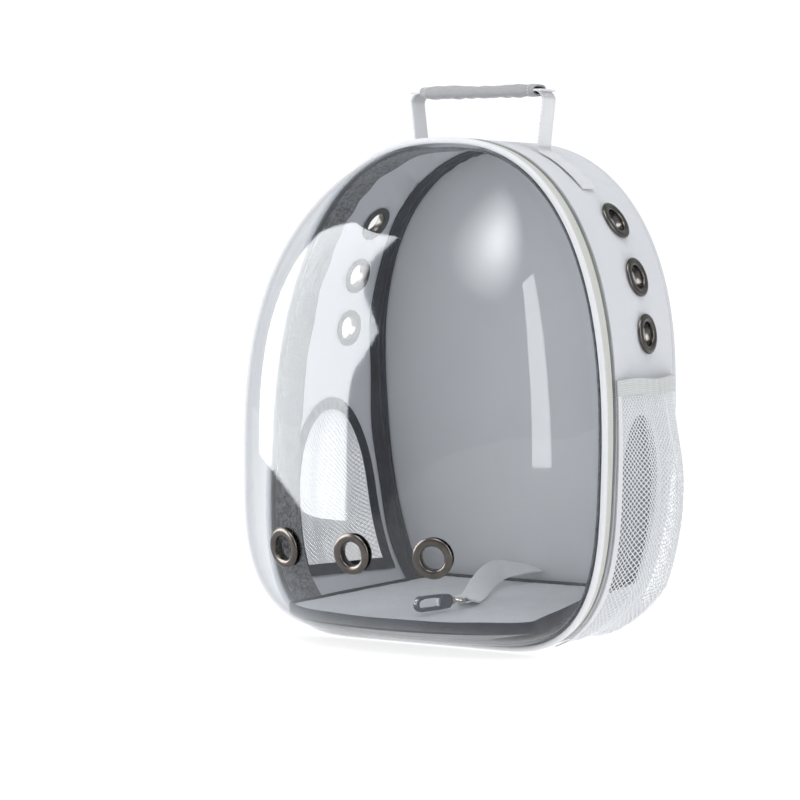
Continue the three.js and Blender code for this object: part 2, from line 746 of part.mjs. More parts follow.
// A closed stack of outlines, with each end closed round its middle.
function stack(outlines) {
  const middle = (points) => points.reduce((sum, p) => sum.add(p), new THREE.Vector3())
    .divideScalar(points.length);
  const [bottom, top] = [middle(outlines[0]), middle(outlines[outlines.length - 1])];
  return sweep(outlines[0].map((_, i) => [
    bottom, ...outlines.map((points) => points[i]), top, top.clone().lerp(bottom, 0.5),
  ]), true);
}

add('floor_board', 'charcoal', stack([
  cushionOutline(boardLow, cushion.tuck), cushionOutline(cushion.boardTop, 0)]));
const plushLow = cushion.boardTop + clearance;
const plushInset = cushionEdge.thick + clearance;
add('floor_plush', 'plush', stack([
  cushionOutline(cushion.boardTop, plushInset, plushLow),
  cushionOutline(cushion.boardTop, plushInset, cushion.top)]));

// The dark edge stands on the board round the plush, higher towards the front
function edgeTop(points) {
  return points.map((p) => {
    const forward = THREE.MathUtils.clamp(1 - p.y / rearY(0), 0, 1);
    const lift = cushionEdge.rearLift + (cushionEdge.lift - cushionEdge.rearLift) * forward;
    return new THREE.Vector3(p.x, p.y, cushion.top + lift);
  });
}
{
  const outer = cushionOutline(cushion.boardTop, 0, plushLow);
  const inner = cushionOutline(cushion.boardTop, cushionEdge.thick, plushLow);
  const [outerTop, innerTop] = [edgeTop(outer), edgeTop(inner)];
  add('cushion_edge', 'charcoal', sweep(
    outer.map((_, i) => [outer[i], outerTop[i], innerTop[i], inner[i]]), true));
}

// Safety leash: webbing from the foot of the back panel, an eye, and a snap hook that turns on it

const clipAxisHeight = cushion.top + Math.hypot(clip.width, clip.thick) / 2 + clearance + facetSlack;
const headingAngle = THREE.MathUtils.degToRad(clip.heading);
const clipAxis = new THREE.Vector3(-Math.sin(headingAngle), -Math.cos(headingAngle), 0);
const clipStart = new THREE.Vector3(leash.endX, leash.endY, clipAxisHeight);

const ringFar = clipStart.clone().addScaledVector(clipAxis, -2 * eyeRing.radius);

// Route of the leash: place, height over the plush and roll of the webbing, front to back
const leashRoute = [
  { x: ringFar.x, y: ringFar.y, rise: clipAxisHeight - cushion.top, roll: 0, wide: 0.55 },
  { x: ringFar.x - 1, y: ringFar.y + 10, rise: 4.6, roll: 4, wide: 0.8 },
  { x: 20, y: 38, rise: 2.2, roll: 5, wide: 1 },
  { x: 14, y: 56, rise: 3.6, roll: 12, wide: 1 },
  { x: 6, y: 80, rise: 8.4, roll: 32, wide: 1 },
  { x: 0, y: 104, rise: 13, roll: 46, wide: 1 },
  { x: -2, y: 126, rise: 15, roll: 44, wide: 1 },
  { x: 3, y: 146, rise: 13.5, roll: 24, wide: 1 },
  { x: leash.rootX, y: rearY(cushion.top) - 6, rise: 11, roll: 10, wide: 1 },
];

function makeLeash() {
  const curve = new THREE.CatmullRomCurve3(
    leashRoute.map(({ x, y, rise }) => new THREE.Vector3(x, y, cushion.top + rise)));
  const steps = leashRoute.length * 2 - 2;
  const path = Array.from({ length: steps + 1 }, (_, i) => {
    const place = (i / steps) * (leashRoute.length - 1);
    const k = Math.min(leashRoute.length - 2, Math.floor(place));
    const mix = place - k;
    const blend = (key) => leashRoute[k][key] * (1 - mix) + leashRoute[k + 1][key] * mix;
    const at = curve.getPoint(i / steps);
    const along = curve.getTangent(i / steps);
    const roll = THREE.MathUtils.degToRad(blend('roll'));
    const across = along.clone().cross(new THREE.Vector3(0, 0, 1)).normalize();
    across.applyAxisAngle(along, roll);
    return { at, across, normal: across.clone().cross(along).normalize(), wide: leash.width * blend('wide') };
  });
  const ringRoom = new THREE.TorusGeometry(eyeRing.radius, eyeRing.wire + clearance, 6, 12);
  const end = path[0];
  const fold = new THREE.BoxGeometry(leash.width * 0.5, leash.fold, leash.foldThick);
  fold.applyMatrix4(new THREE.Matrix4().makeBasis(
    end.across, clipAxis.clone().negate(), end.across.clone().cross(clipAxis.clone().negate())));
  fold.translate(end.at.x, end.at.y, end.at.z);
  return cut(join(ribbon(path, leash.width, leash.thick), fold), placeRing(ringRoom));
}

// The eye lies flat, its ring towards the leash and its pin in the hook.
function placeRing(geometry) {
  const centre = clipStart.clone().addScaledVector(clipAxis, -eyeRing.radius);
  return geometry.translate(centre.x, centre.y, centre.z);
}

const alongClip = new THREE.Quaternion().setFromUnitVectors(new THREE.Vector3(0, 1, 0), clipAxis);
function clipCylinder(radius, from, to, sides) {
  const cylinder = new THREE.CylinderGeometry(radius, radius, to - from, sides);
  cylinder.translate(0, (from + to) / 2, 0);
  cylinder.applyQuaternion(alongClip);
  return cylinder.translate(clipStart.x, clipStart.y, clipStart.z);
}

const collar = 1.6;
const hookFrom = eyeRing.wire + collar + clearance;
add('leash_strap', 'webbing', makeLeash());
add('leash_eye', 'steel', join(
  placeRing(new THREE.TorusGeometry(eyeRing.radius, eyeRing.wire, 6, 12)),
  clipCylinder(3.4, 0, eyeRing.wire + collar, 12),
  clipCylinder(clip.pin, 0, hookFrom + clip.pinDepth, 12)));

// The hook stands in the upright plane through its axis: a runs along the axis, b up.
function clipPlate(shape, thick) {
  const plate = new THREE.ExtrudeGeometry(shape, { depth: thick, bevelEnabled: false, curveSegments: 5 });
  plate.translate(0, 0, -thick / 2);
  const side = new THREE.Vector3(0, 0, 1);
  const sideways = clipAxis.clone().cross(side);
  plate.applyMatrix4(new THREE.Matrix4().makeBasis(clipAxis, side, sideways));
  return plate.translate(clipStart.x, clipStart.y, clipStart.z);
}

const hookTip = hookFrom + clip.length;
const nose = clip.width / 2;
const mouthFrom = hookFrom + clip.base;
const mouthTo = hookTip - clip.wire;
function hookShape() {
  const shape = new THREE.Shape();
  const half = clip.width / 2;
  shape.moveTo(hookFrom, -half * 0.55);
  shape.lineTo(hookFrom + 3, -half * 0.9);
  shape.lineTo(mouthFrom, -half);
  shape.lineTo(hookTip - nose, -half);
  shape.absarc(hookTip - nose, 0, half, -Math.PI / 2, Math.PI / 2, false);
  shape.lineTo(hookTip - nose - 2, half);
  shape.lineTo(hookTip - nose - 2, half - clip.wire);
  shape.absarc(mouthTo - (half - clip.wire), 0, half - clip.wire, Math.PI / 2, -Math.PI / 2, true);
  shape.lineTo(mouthFrom, -half + clip.wire);
  shape.lineTo(mouthFrom, half - clip.gateWidth - clearance);
  shape.lineTo(mouthFrom - 1.5, half - clip.gateWidth - clearance);
  shape.lineTo(mouthFrom - 1.5, half);
  shape.lineTo(hookFrom + 3, half * 0.9);
  shape.lineTo(hookFrom, half * 0.55);
  return shape;
}
add('leash_hook', 'slate', cut(
  clipPlate(hookShape(), clip.thick),
  clipCylinder(clip.pin + clearance, hookFrom - 1, hookFrom + clip.pinDepth + clearance, 12)));

function gateShape() {
  const [from, to] = [mouthFrom - 1.5 + clearance, hookTip - nose - 2 - clearance];
  const [low, high] = [clip.width / 2 - clip.gateWidth, clip.width / 2];
  const heel = clip.gateWidth / 3;
  const shape = new THREE.Shape();
  shape.moveTo(from, low + heel);
  shape.lineTo(from + heel, low);
  shape.lineTo(to, low);
  shape.lineTo(to, high);
  shape.lineTo(from, high);
  return shape;
}
add('leash_gate', 'slate', clipPlate(gateShape(), clip.thick * 0.7));

// Shoulder straps on the back, with a yoke at the top and a webbing tail through a slide buckle

const panelRear = (height) => rearY(height) + panel.pad;
const rearTilt = Math.atan2(-rear.lean, rear.height);

// Sections of a shoulder strap from the yoke down: shares of the named sizes
const strapSections = [
  { out: 0, height: 366, x: 38, wide: 44 },
  { out: 0.45, height: 348, x: 40, wide: 48 },
  { out: 0.85, height: 315, x: 48, wide: 54 },
  { out: 1, height: 275, x: 60, wide: 56 },
  { out: 0.95, height: 235, x: 74, wide: 56 },
  { out: 0.7, height: 198, x: 88, wide: 50 },
  { out: 0.35, height: 168, x: 98, wide: 40 },
  { out: 0.12, height: 148, x: 104, wide: 32 },
];
const tailSections = [
  { height: 122, x: 104 }, { height: 90, x: 102 }, { height: 55, x: 97 }, { height: 34, x: 92 },
];

const strapSeat = clearance + facetSlack;
function strapSolid(side, sections, thick, rounding) {
  const at = (row) => new THREE.Vector3(
    side * row.x, panelRear(row.height) + strapSeat + thick / 2 + strapPad.rise * (row.out ?? 0),
    row.height);
  const places = sections.map(at);
  return sweep(sections.map((row, i) => {
    const along = places[Math.min(i + 1, places.length - 1)].clone()
      .sub(places[Math.max(i - 1, 0)]).normalize();
    const across = new THREE.Vector3(along.z, 0, -along.x).normalize();
    const normal = across.clone().cross(along).normalize();
    const half = (row.wide ?? strapWeb.width) / 2;
    const soft = rounding * thick;
    const corner = (a, n) => places[i].clone().addScaledVector(across, a).addScaledVector(normal, n);
    return [
      corner(half - soft, thick / 2), corner(-half + soft, thick / 2), corner(-half, 0),
      corner(-half + soft, -thick / 2), corner(half - soft, -thick / 2), corner(half, 0),
    ];
  }));
}

const buckleAt = { height: 135, x: 105 };
function makeBuckle() {
  const plate = new THREE.BoxGeometry(buckle.width, buckle.thick, buckle.height);
  const slots = [-1, 1].map((step) => {
    const slot = new THREE.BoxGeometry(strapWeb.width + 2, buckle.thick * 2, buckle.bar);
    return slot.translate(0, 0, (step * (buckle.height - buckle.bar)) / 4);
  });
  return cut(plate, ...slots);
}

for (const [word, side] of [['left', -1], ['right', 1]]) {
  add(`shoulder_strap_${word}`, 'greyPanel', strapSolid(side, strapSections, strapPad.thick, 0.4));
  add(`strap_tail_${word}`, 'webbing', strapSolid(side, tailSections, strapWeb.thick, 0));
  const slide = add(`strap_buckle_${word}`, 'plastic', makeBuckle());
  slide.position.set(side * buckleAt.x,
    panelRear(buckleAt.height) + strapSeat + buckle.thick / 2, buckleAt.height);
  slide.rotation.x = rearTilt;
}
{
  const height = strapSections[0].height + yoke.height / 2 + clearance * 4;
  const plate = new THREE.BoxGeometry(yoke.width, yoke.thick, yoke.height);
  const patch = add('strap_yoke', 'greyPanel', weld(plate));
  patch.rotation.x = rearTilt;
  patch.position.set(0, panelRear(height) + strapSeat + yoke.thick / 2, height);
}

// The whole carrier stands on its flat base, with the origin under the middle of its outer box

carrier.updateMatrixWorld(true);
const bounds = new THREE.Box3().setFromObject(carrier, true);
const middle = bounds.getCenter(new THREE.Vector3());
carrier.position.set(-middle.x, -middle.y, -bounds.min.z);
carrier.updateMatrixWorld(true);

export default carrier;
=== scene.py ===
# %% [markdown]
# # A bubble pet carrier, dressed around its CAD frame
# The carrier is a clear moulded dome that zips onto an arched fabric body. The CAD model fixes
# every size and every moving part. This script adds what the eye reads: smooth shell, woven
# cloth, nets, stitches, metal and plush. All lengths are metres, in the frame of the CAD model.

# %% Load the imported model
import math

import bpy
import numpy as np
from mathutils import Matrix, Quaternion, Vector


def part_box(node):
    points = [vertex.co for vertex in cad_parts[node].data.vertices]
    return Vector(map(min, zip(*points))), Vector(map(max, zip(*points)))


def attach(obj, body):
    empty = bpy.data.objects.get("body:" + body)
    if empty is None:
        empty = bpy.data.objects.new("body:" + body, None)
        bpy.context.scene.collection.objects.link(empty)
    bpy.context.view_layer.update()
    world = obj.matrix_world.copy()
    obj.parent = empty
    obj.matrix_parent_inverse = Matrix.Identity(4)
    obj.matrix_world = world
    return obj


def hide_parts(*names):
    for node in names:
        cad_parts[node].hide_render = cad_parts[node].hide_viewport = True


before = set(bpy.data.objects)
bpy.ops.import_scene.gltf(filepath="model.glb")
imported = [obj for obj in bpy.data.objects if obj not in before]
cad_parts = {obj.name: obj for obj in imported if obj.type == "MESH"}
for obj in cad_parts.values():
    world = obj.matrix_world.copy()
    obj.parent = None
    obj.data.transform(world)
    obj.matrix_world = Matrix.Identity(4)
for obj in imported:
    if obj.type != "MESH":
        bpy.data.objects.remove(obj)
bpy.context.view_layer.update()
MM = 0.001

# %% [markdown]
# ## The two arches
# The fabric wall is ruled between two arch outlines: the rim, which leans back, and a smaller
# rear outline, which leans forward. Each outline is a flat base, a lower curve out to the widest
# point and an upper curve to the top, both superellipses. Everything sewn to the wall is placed
# by its share round the arch (0 bottom, 1 top, 2 bottom again), its depth and its height off it.

# %% The arch outlines
RIM = dict(half_width=0.170, height=0.424, flat_half=0.068, widest_at=0.140,
           lower_power=3, upper_power=2.4, behind=0.0, lean=0.022)
REAR = dict(half_width=0.149, height=0.422, flat_half=0.074, widest_at=0.227,
            lower_power=2.1, upper_power=2.25, behind=0.168, lean=-0.020)
BODY_FRONT = 22.9 * MM  # the fabric wall starts this far behind the rim
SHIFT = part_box("body_gusset")[0].y - BODY_FRONT  # from the rim's own place to the frame's


def measure_arch(arch, steps=400):
    """Adds the arch's right half: its points and how far along it each lies, from 0 to 1."""
    fall = np.linspace(math.pi / 2, 0, steps)
    climb = np.linspace(0, math.pi / 2, steps)[1:]
    flat, wide, middle = arch["flat_half"], arch["half_width"], arch["widest_at"]
    low, high = 2 / arch["lower_power"], 2 / arch["upper_power"]
    x = np.concatenate([[0], flat + (wide - flat) * np.cos(fall) ** low,
                        wide * np.clip(np.cos(climb), 0, 1) ** high])
    z = np.concatenate([[0], middle * (1 - np.sin(fall) ** low),
                        middle + (arch["height"] - middle) * np.sin(climb) ** high])
    run = np.concatenate([[0], np.cumsum(np.hypot(np.diff(x), np.diff(z)))])
    arch.update(x=x, z=z, run=run / run[-1], length=2 * run[-1])


measure_arch(RIM)
measure_arch(REAR)
print("round the rim", round(RIM["length"], 3), "m, round the rear", round(REAR["length"], 3), "m")


def outline(arch, share):
    """Points of an arch at shares round it."""
    turn = np.mod(share, 2.0)
    up = np.where(turn > 1, 2 - turn, turn)
    x = np.interp(up, arch["run"], arch["x"]) * np.where(turn > 1, -1, 1)
    z = np.interp(up, arch["run"], arch["z"])
    y = SHIFT + arch["behind"] + arch["lean"] * z / arch["height"]
    return np.stack([x, y, z], axis=-1)


def unit(vectors):
    return vectors / np.maximum(np.linalg.norm(vectors, axis=-1, keepdims=True), 1e-12)


def wall_bare(share, depth):
    depth = np.asarray(depth)[..., None]
    return outline(RIM, share) * (1 - depth) + outline(REAR, share) * depth


def wall_normal(share, depth, step=4e-3):
    along = wall_bare(share + step, depth) - wall_bare(share - step, depth)
    back = wall_bare(share, depth + step) - wall_bare(share, depth - step)
    return unit(np.cross(back, along))


def wall(share, depth, out=0.0):
    """Points of the wall, lifted off it along its normal."""
    share, depth, out = np.broadcast_arrays(*map(np.asarray, (share, depth, out)))
    return wall_bare(share, depth) + wall_normal(share, depth) * out[..., None]


def wall_length(share):
    return np.linalg.norm(outline(RIM, share) - outline(REAR, share), axis=-1)


def wall_back(share, back, out=0.0):
    """The same, with the depth as metres behind the rim."""
    return wall(share, back / wall_length(share), out)


def share_at_height(height, depth):
    """The share at which the wall's right side reaches a height, at a depth."""
    height, depth = np.broadcast_arrays(np.asarray(height, float), np.asarray(depth, float))
    low, high = np.zeros(height.shape), np.ones(height.shape)
    for _ in range(32):
        middle = (low + high) / 2
        under = wall_bare(middle, depth)[..., 2] < height
        low, high = np.where(under, middle, low), np.where(under, high, middle)
    return low


def on_side(side, share):
    return share if side > 0 else 2 - share


# %% [markdown]
# ## The dome
# The clear front is a height field over the rim: deep and flat in the middle, rounding quickly
# at the floor and slowly towards the top, and squarer across the higher it goes.

# %% The dome's surface
SHELL_WALL = 1.8 * MM
SHELL_FLANGE = 20 * MM
FLANGE_OUT = -5.5 * MM  # the flange runs inside the piping and the zip
BUBBLE = dict(depth=0.113, lower_blend=0.115, lower_power=2.4, upper_from=0.150,
              upper_power=3.2, square_low=2.05, square_high=3.1)
POLE = np.array([0, BUBBLE["upper_from"]])


def bubble(share, angle):
    """Points of the dome: share round the rim, angle 0 at its middle and a right angle at its edge."""
    reach = np.sin(angle)[..., None]
    edge, inset = outline(RIM, share), wall(share, 0.0, FLANGE_OUT)
    plain = POLE * (1 - reach) + edge[..., [0, 2]] * reach
    place = POLE * (1 - reach) + inset[..., [0, 2]] * reach
    x, z = plain[..., 0], plain[..., 1]
    fall = np.clip((BUBBLE["lower_blend"] - z) / BUBBLE["lower_blend"], 0, 1)
    rise = np.clip((z - BUBBLE["upper_from"]) / (RIM["height"] - BUBBLE["upper_from"]), 0, 1)
    depth = BUBBLE["depth"] * np.where(
        z < BUBBLE["lower_blend"],
        (1 - fall ** BUBBLE["lower_power"]) ** (1 / BUBBLE["lower_power"]),
        1 - rise ** BUBBLE["upper_power"])
    power = BUBBLE["square_low"] + (BUBBLE["square_high"] - BUBBLE["square_low"]) * z / RIM["height"]
    half = np.interp(z, RIM["z"][1:], RIM["x"][1:])
    across = np.clip(np.abs(x) / np.maximum(half, 1e-9), 0, 1)
    forward = depth * (1 - across ** power) ** (1 / power)
    forward = np.where(angle >= math.pi / 2, 0, forward)
    y = SHIFT + RIM["lean"] * place[..., 1] / RIM["height"] - forward
    return np.stack([place[..., 0], y, place[..., 1]], axis=-1)


def bubble_normal(share, angle, step=0.01):
    steep = np.minimum(angle + step, math.pi / 2 - 1e-4)
    out = bubble(share, steep) - bubble(share, steep - 2 * step)
    around = bubble(share + step, angle) - bubble(share - step, angle)
    return unit(np.cross(out, around))


def bubble_over(x, z):
    """The dome's place and normal in front of a point of the rim plane."""
    shares = np.linspace(0, 2, 2001)
    edges = bubble(shares, np.full(2001, math.pi / 2))[:, [0, 2]] - POLE
    wanted = np.array([x, z]) - POLE
    turn = np.arctan2(edges[:, 1], edges[:, 0]) - math.atan2(wanted[1], wanted[0])
    best = np.argmin(np.abs((turn + math.pi) % (2 * math.pi) - math.pi))
    angle = math.asin(min(1.0, np.linalg.norm(wanted) / np.linalg.norm(edges[best])))
    share, angle = np.array([shares[best]]), np.array([angle])
    return bubble(share, angle)[0], bubble_normal(share, angle)[0]


# %% [markdown]
# ## Tools for the bench
# Nearly every piece here starts as one of Blender's grid primitives. A grid is bent over the
# wall or the dome by moving its corners, gets its thickness from a Solidify modifier, and is
# cut with Boolean modifiers. The grid's own UV map is scaled to real metres, so that a weave
# follows the cloth at its true size.

# %% Grids, modifiers and copies
def deselect():
    if bpy.context.object and bpy.context.object.mode != "OBJECT":
        bpy.ops.object.mode_set(mode="OBJECT")
    bpy.ops.object.select_all(action="DESELECT")


def pick(piece):
    deselect()
    piece.select_set(True)
    bpy.context.view_layer.objects.active = piece


def edit_all(piece, *steps):
    """Runs edit-mode operators on all of a piece: pairs of an operator and its settings."""
    pick(piece)
    bpy.ops.object.mode_set(mode="EDIT")
    bpy.ops.mesh.select_all(action="SELECT")
    for operator, settings in steps:
        operator(**settings)
    bpy.ops.object.mode_set(mode="OBJECT")


def points_of(piece):
    flat = np.zeros(len(piece.data.vertices) * 3)
    piece.data.vertices.foreach_get("co", flat)
    return flat.reshape(-1, 3)


def move_points(piece, points):
    piece.data.vertices.foreach_set("co", np.ascontiguousarray(points).ravel())
    piece.data.update()


def bent_grid(name, columns, rows, place, size=(1.0, 1.0), joined=False, outwards=None):
    """A grid whose corner (u, v), each from 0 to 1, moves to place(u, v). Size is its real size.
    joined closes it where its edges meet, and outwards is a point behind its front."""
    deselect()
    bpy.ops.mesh.primitive_grid_add(x_subdivisions=columns, y_subdivisions=rows, size=1)
    piece = bpy.context.object
    piece.name = piece.data.name = name
    flat = points_of(piece)
    move_points(piece, place(flat[:, 0] + 0.5, flat[:, 1] + 0.5))
    uv = piece.data.uv_layers.active.data
    values = np.zeros(len(uv) * 2)
    uv.foreach_get("uv", values)
    uv.foreach_set("uv", (values.reshape(-1, 2) * np.array(size)).ravel())
    if joined:
        edit_all(piece, (bpy.ops.mesh.remove_doubles, dict(threshold=1e-6)))
    if outwards is not None:
        face_away(piece, outwards)
    return piece


def face_away(piece, point):
    """Turns an open sheet over where most of it faces towards the point."""
    mesh = piece.data
    normals, centres = np.zeros(len(mesh.polygons) * 3), np.zeros(len(mesh.polygons) * 3)
    mesh.polygons.foreach_get("normal", normals)
    mesh.polygons.foreach_get("center", centres)
    away = centres.reshape(-1, 3) - np.asarray(point)
    if np.sum(normals.reshape(-1, 3) * away) < 0:
        edit_all(piece, (bpy.ops.mesh.flip_normals, {}))


def apply(piece, kind, **settings):
    """Adds a modifier, sets it and applies it."""
    pick(piece)
    modifier = piece.modifiers.new(kind, kind)
    for key, value in settings.items():
        setattr(modifier, key, value)
    bpy.ops.object.modifier_apply(modifier=modifier.name)
    return piece


def thicken(piece, thick, offset=-1.0):
    return apply(piece, "SOLIDIFY", thickness=thick, offset=offset, use_even_offset=False)


def cut(piece, *tools):
    for tool in tools:
        apply(piece, "BOOLEAN", operation="DIFFERENCE", solver="EXACT", object=tool)
        bpy.data.objects.remove(tool)
    return piece


def closed_tidy(piece):
    """Merges doubled corners of a closed piece and turns its faces outwards."""
    edit_all(piece, (bpy.ops.mesh.remove_doubles, dict(threshold=1e-6)),
             (bpy.ops.mesh.normals_make_consistent, dict(inside=False)))
    return piece


def copies(name, model, places):
    """One piece made of a model's copies, each at a 4 by 4 place. The model is used up."""
    corners = points_of(model)
    faces = [tuple(p.vertices) for p in model.data.polygons]
    count = len(corners)
    points = np.concatenate([corners @ np.asarray(m)[:3, :3].T + np.asarray(m)[:3, 3] for m in places])
    mesh = bpy.data.meshes.new(name)
    mesh.from_pydata(points.tolist(), [], [
        tuple(i + k * count for i in face) for k in range(len(places)) for face in faces])
    piece = bpy.data.objects.new(name, mesh)
    bpy.context.scene.collection.objects.link(piece)
    bpy.data.objects.remove(model)
    return piece


def frames(points, forward, normals):
    """Places along a line: x along it, z out of the surface."""
    along = unit(forward)
    side = unit(np.cross(normals, along))
    up = np.cross(along, side)
    places = np.tile(np.eye(4), (len(points), 1, 1))
    places[:, :3, 0], places[:, :3, 1], places[:, :3, 2], places[:, :3, 3] = along, side, up, points
    return places


def finish(piece, material, slot, *nodes, body="root", angle=40):
    """Paints a piece, smooths it, hides the CAD nodes it stands for and hangs it on what it rides on."""
    piece.data.materials.clear()
    piece.data.materials.append(material)
    pick(piece)
    bpy.ops.object.shade_smooth_by_angle(angle=math.radians(angle))
    if nodes:
        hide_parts(*nodes)
    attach(piece, body)
    print(piece.name, len(piece.data.polygons), "faces")
    return piece


def smoothed(rows, count):
    """A smooth line of count points through rows of numbers, Catmull-Rom."""
    rows = np.asarray(rows, float)
    padded = np.vstack([2 * rows[0] - rows[1], rows, 2 * rows[-1] - rows[-2]])
    t = np.linspace(0, len(rows) - 1, count)
    k = np.minimum(t.astype(int), len(rows) - 2)
    f = (t - k)[:, None]
    a, b, c, d = (padded[k + i] for i in range(4))
    return 0.5 * (2 * b + (c - a) * f + (2 * a - 5 * b + 4 * c - d) * f ** 2
                  + (3 * b - a - 3 * c + d) * f ** 3)


def bump_hill(x, middle, width):
    """A soft hill of height 1."""
    return np.exp(-((x - middle) / width) ** 2)


# %% [markdown]
# ## Shader maths
# A material is a recipe of nodes. Wire wraps one socket and overloads the operators, so that a
# weave can be written as a sum of sines. Recipe adds any other node with one method.

# %% Wires and recipes
def socket_name(word):
    """base_color to Base Color, as the shader names its sockets."""
    return word.replace("_", " ").title().replace("Ior", "IOR")


class Wire:
    """One value running through a material."""

    def __init__(self, recipe, socket):
        self.recipe, self.socket = recipe, socket

    def maths(self, operation, *values, **settings):
        return self.recipe.node("Math", dict(operation=operation, **settings), dict(enumerate(values)))

    def __add__(self, other):
        return self.maths("ADD", self, other)

    def __sub__(self, other):
        return self.maths("SUBTRACT", self, other)

    def __rsub__(self, other):
        return self.maths("SUBTRACT", other, self)

    def __mul__(self, other):
        return self.maths("MULTIPLY", self, other)

    def __pow__(self, other):
        return self.maths("POWER", self, other)

    __radd__, __rmul__ = __add__, __mul__

    def sine(self):
        return self.maths("SINE", self)

    def clamped(self):
        return self.maths("MULTIPLY", self, 1.0, use_clamp=True)


class Recipe:
    """A material and the nodes that make it."""

    def __init__(self, name, **constants):
        self.material = bpy.data.materials.new(name)
        self.material.use_nodes = True
        self.tree = self.material.node_tree
        self.shader = self.tree.nodes["Principled BSDF"]
        for key, value in constants.items():
            self.shader.inputs[socket_name(key)].default_value = value

    def node(self, kind, settings=None, inputs=None, out=0):
        made = self.tree.nodes.new("ShaderNode" + kind)
        for key, value in (settings or {}).items():
            setattr(made, key, value)
        for key, value in (inputs or {}).items():
            self.feed(made.inputs[key], value)
        return Wire(self, made.outputs[out])

    def feed(self, socket, value):
        if isinstance(value, Wire):
            self.tree.links.new(value.socket, socket)
        else:
            socket.default_value = value

    def set(self, **inputs):
        for key, value in inputs.items():
            self.feed(self.shader.inputs[socket_name(key)], value)

    def place(self):
        return self.node("TexCoord", out="Object")

    def along_and_across(self):
        """The cloth's own two directions, in metres."""
        coordinates = self.node("UVMap")
        split = self.tree.nodes.new("ShaderNodeSeparateXYZ")
        self.tree.links.new(coordinates.socket, split.inputs[0])
        return Wire(self, split.outputs[0]), Wire(self, split.outputs[1])

    def noise(self, scale, detail=3.0, rough=0.5, vector=None):
        return self.node("TexNoise", {}, {"Vector": vector or self.place(), "Scale": scale,
                                          "Detail": detail, "Roughness": rough})

    def blend(self, factor, dark, light):
        mixed = self.tree.nodes.new("ShaderNodeMix")
        mixed.data_type = "RGBA"
        self.feed(mixed.inputs[0], factor)
        self.feed(mixed.inputs[6], dark if isinstance(dark, Wire) else (*dark, 1))
        self.feed(mixed.inputs[7], light if isinstance(light, Wire) else (*light, 1))
        return Wire(self, mixed.outputs[2])

    def bump(self, height, depth, strength=1.0):
        self.set(Normal=self.node("Bump", {}, {"Height": height, "Strength": strength,
                                               "Distance": depth}))


# %% [markdown]
# ## Cloth finishes
# Each cloth shows its own threads close up: a plain weave on the body, a twill on the webbing,
# ribs on the elastic, loops on the knit and a brushed pile on the velour and the plush. Threads
# are sines of the UV in metres. Two noises add slow shading and fine fuzz. Sheen lifts the
# edges as brushed fibres do.

# %% Woven, ribbed and brushed cloth
TURN = 2 * math.pi


def woven(name, dark, light, pitch, depth=0.12 * MM, twill=False, sheen=0.25, rough=0.72, soil=0.35):
    """Cloth with threads that cross at a pitch."""
    recipe = Recipe(name, sheen_weight=sheen, sheen_roughness=0.45, specular_ior_level=0.3)
    u, v = recipe.along_and_across()
    if twill:
        threads = ((u + v) * (TURN / pitch)).sine() * 0.5 + (v * (TURN / pitch * 2)).sine() * 0.18 + 0.5
    else:
        threads = (u * (TURN / pitch)).sine() * (v * (TURN / pitch)).sine() * 0.5 + 0.5
    slow, fine = recipe.noise(14, 3), recipe.noise(900, 2)
    shade = (threads * (0.55 - soil / 2) + slow * soil + fine * 0.45).clamped()
    recipe.set(Base_Color=recipe.blend(shade, dark, light), Roughness=fine * 0.12 + (rough - 0.06))
    recipe.bump(threads + fine * 0.5, depth)
    return recipe.material


def brushed(name, dark, light, pile, depth, sheen=0.8, rough=0.9, folds=9):
    """Velour, felt or plush: a short pile that lies in patches."""
    recipe = Recipe(name, sheen_weight=sheen, sheen_roughness=0.35, specular_ior_level=0.15,
                    roughness=rough)
    place = recipe.place()
    patches = recipe.noise(folds, 4, 0.6, place)
    fibres = recipe.noise(pile, 3, 0.7, place)
    shade = ((patches - 0.5) * 1.6 + (fibres - 0.5) * 0.9 + 0.5).clamped()
    recipe.set(Base_Color=recipe.blend(shade, dark, light))
    recipe.bump(fibres + patches * 0.4, depth)
    return recipe.material


def ribbed(name, dark, light, rib, depth=0.25 * MM, across=True):
    """Elastic: ribs one way and fine threads the other."""
    recipe = Recipe(name, sheen_weight=0.25, sheen_roughness=0.5, specular_ior_level=0.3)
    u, v = recipe.along_and_across()
    ribs = ((v if across else u) * (TURN / rib)).sine() * 0.5 + 0.5
    threads = ((u if across else v) * (TURN / (0.9 * MM))).sine() * 0.25 + 0.5
    slow = recipe.noise(25, 3)
    recipe.set(Base_Color=recipe.blend((ribs * 0.5 + threads * 0.3 + slow * 0.3).clamped(), dark, light),
               Roughness=slow * 0.15 + 0.72)
    recipe.bump(ribs + threads * 0.4, depth)
    return recipe.material


white_fabric = woven("body_cloth", (0.56, 0.57, 0.60), (0.80, 0.81, 0.84), 0.7 * MM,
                     depth=0.05 * MM, sheen=0.3, rough=0.55, soil=0.25)
lining_cloth = woven("lining_cloth", (0.62, 0.62, 0.64), (0.84, 0.84, 0.86), 0.9 * MM, depth=0.05 * MM)
piping_cloth = woven("piping_cloth", (0.76, 0.76, 0.78), (0.93, 0.93, 0.95), 0.8 * MM, sheen=0.35)
tape_cloth = woven("zip_tape_cloth", (0.54, 0.54, 0.49), (0.75, 0.75, 0.69), 1.1 * MM, twill=True)
window_thread = woven("window_thread", (0.12, 0.125, 0.135), (0.30, 0.31, 0.33), 0.5 * MM, depth=0.02 * MM)
net_thread = woven("net_thread", (0.80, 0.81, 0.83), (0.94, 0.95, 0.96), 0.6 * MM, depth=0.03 * MM)
elastic = ribbed("elastic_band", (0.50, 0.51, 0.50), (0.72, 0.73, 0.72), 1.5 * MM)
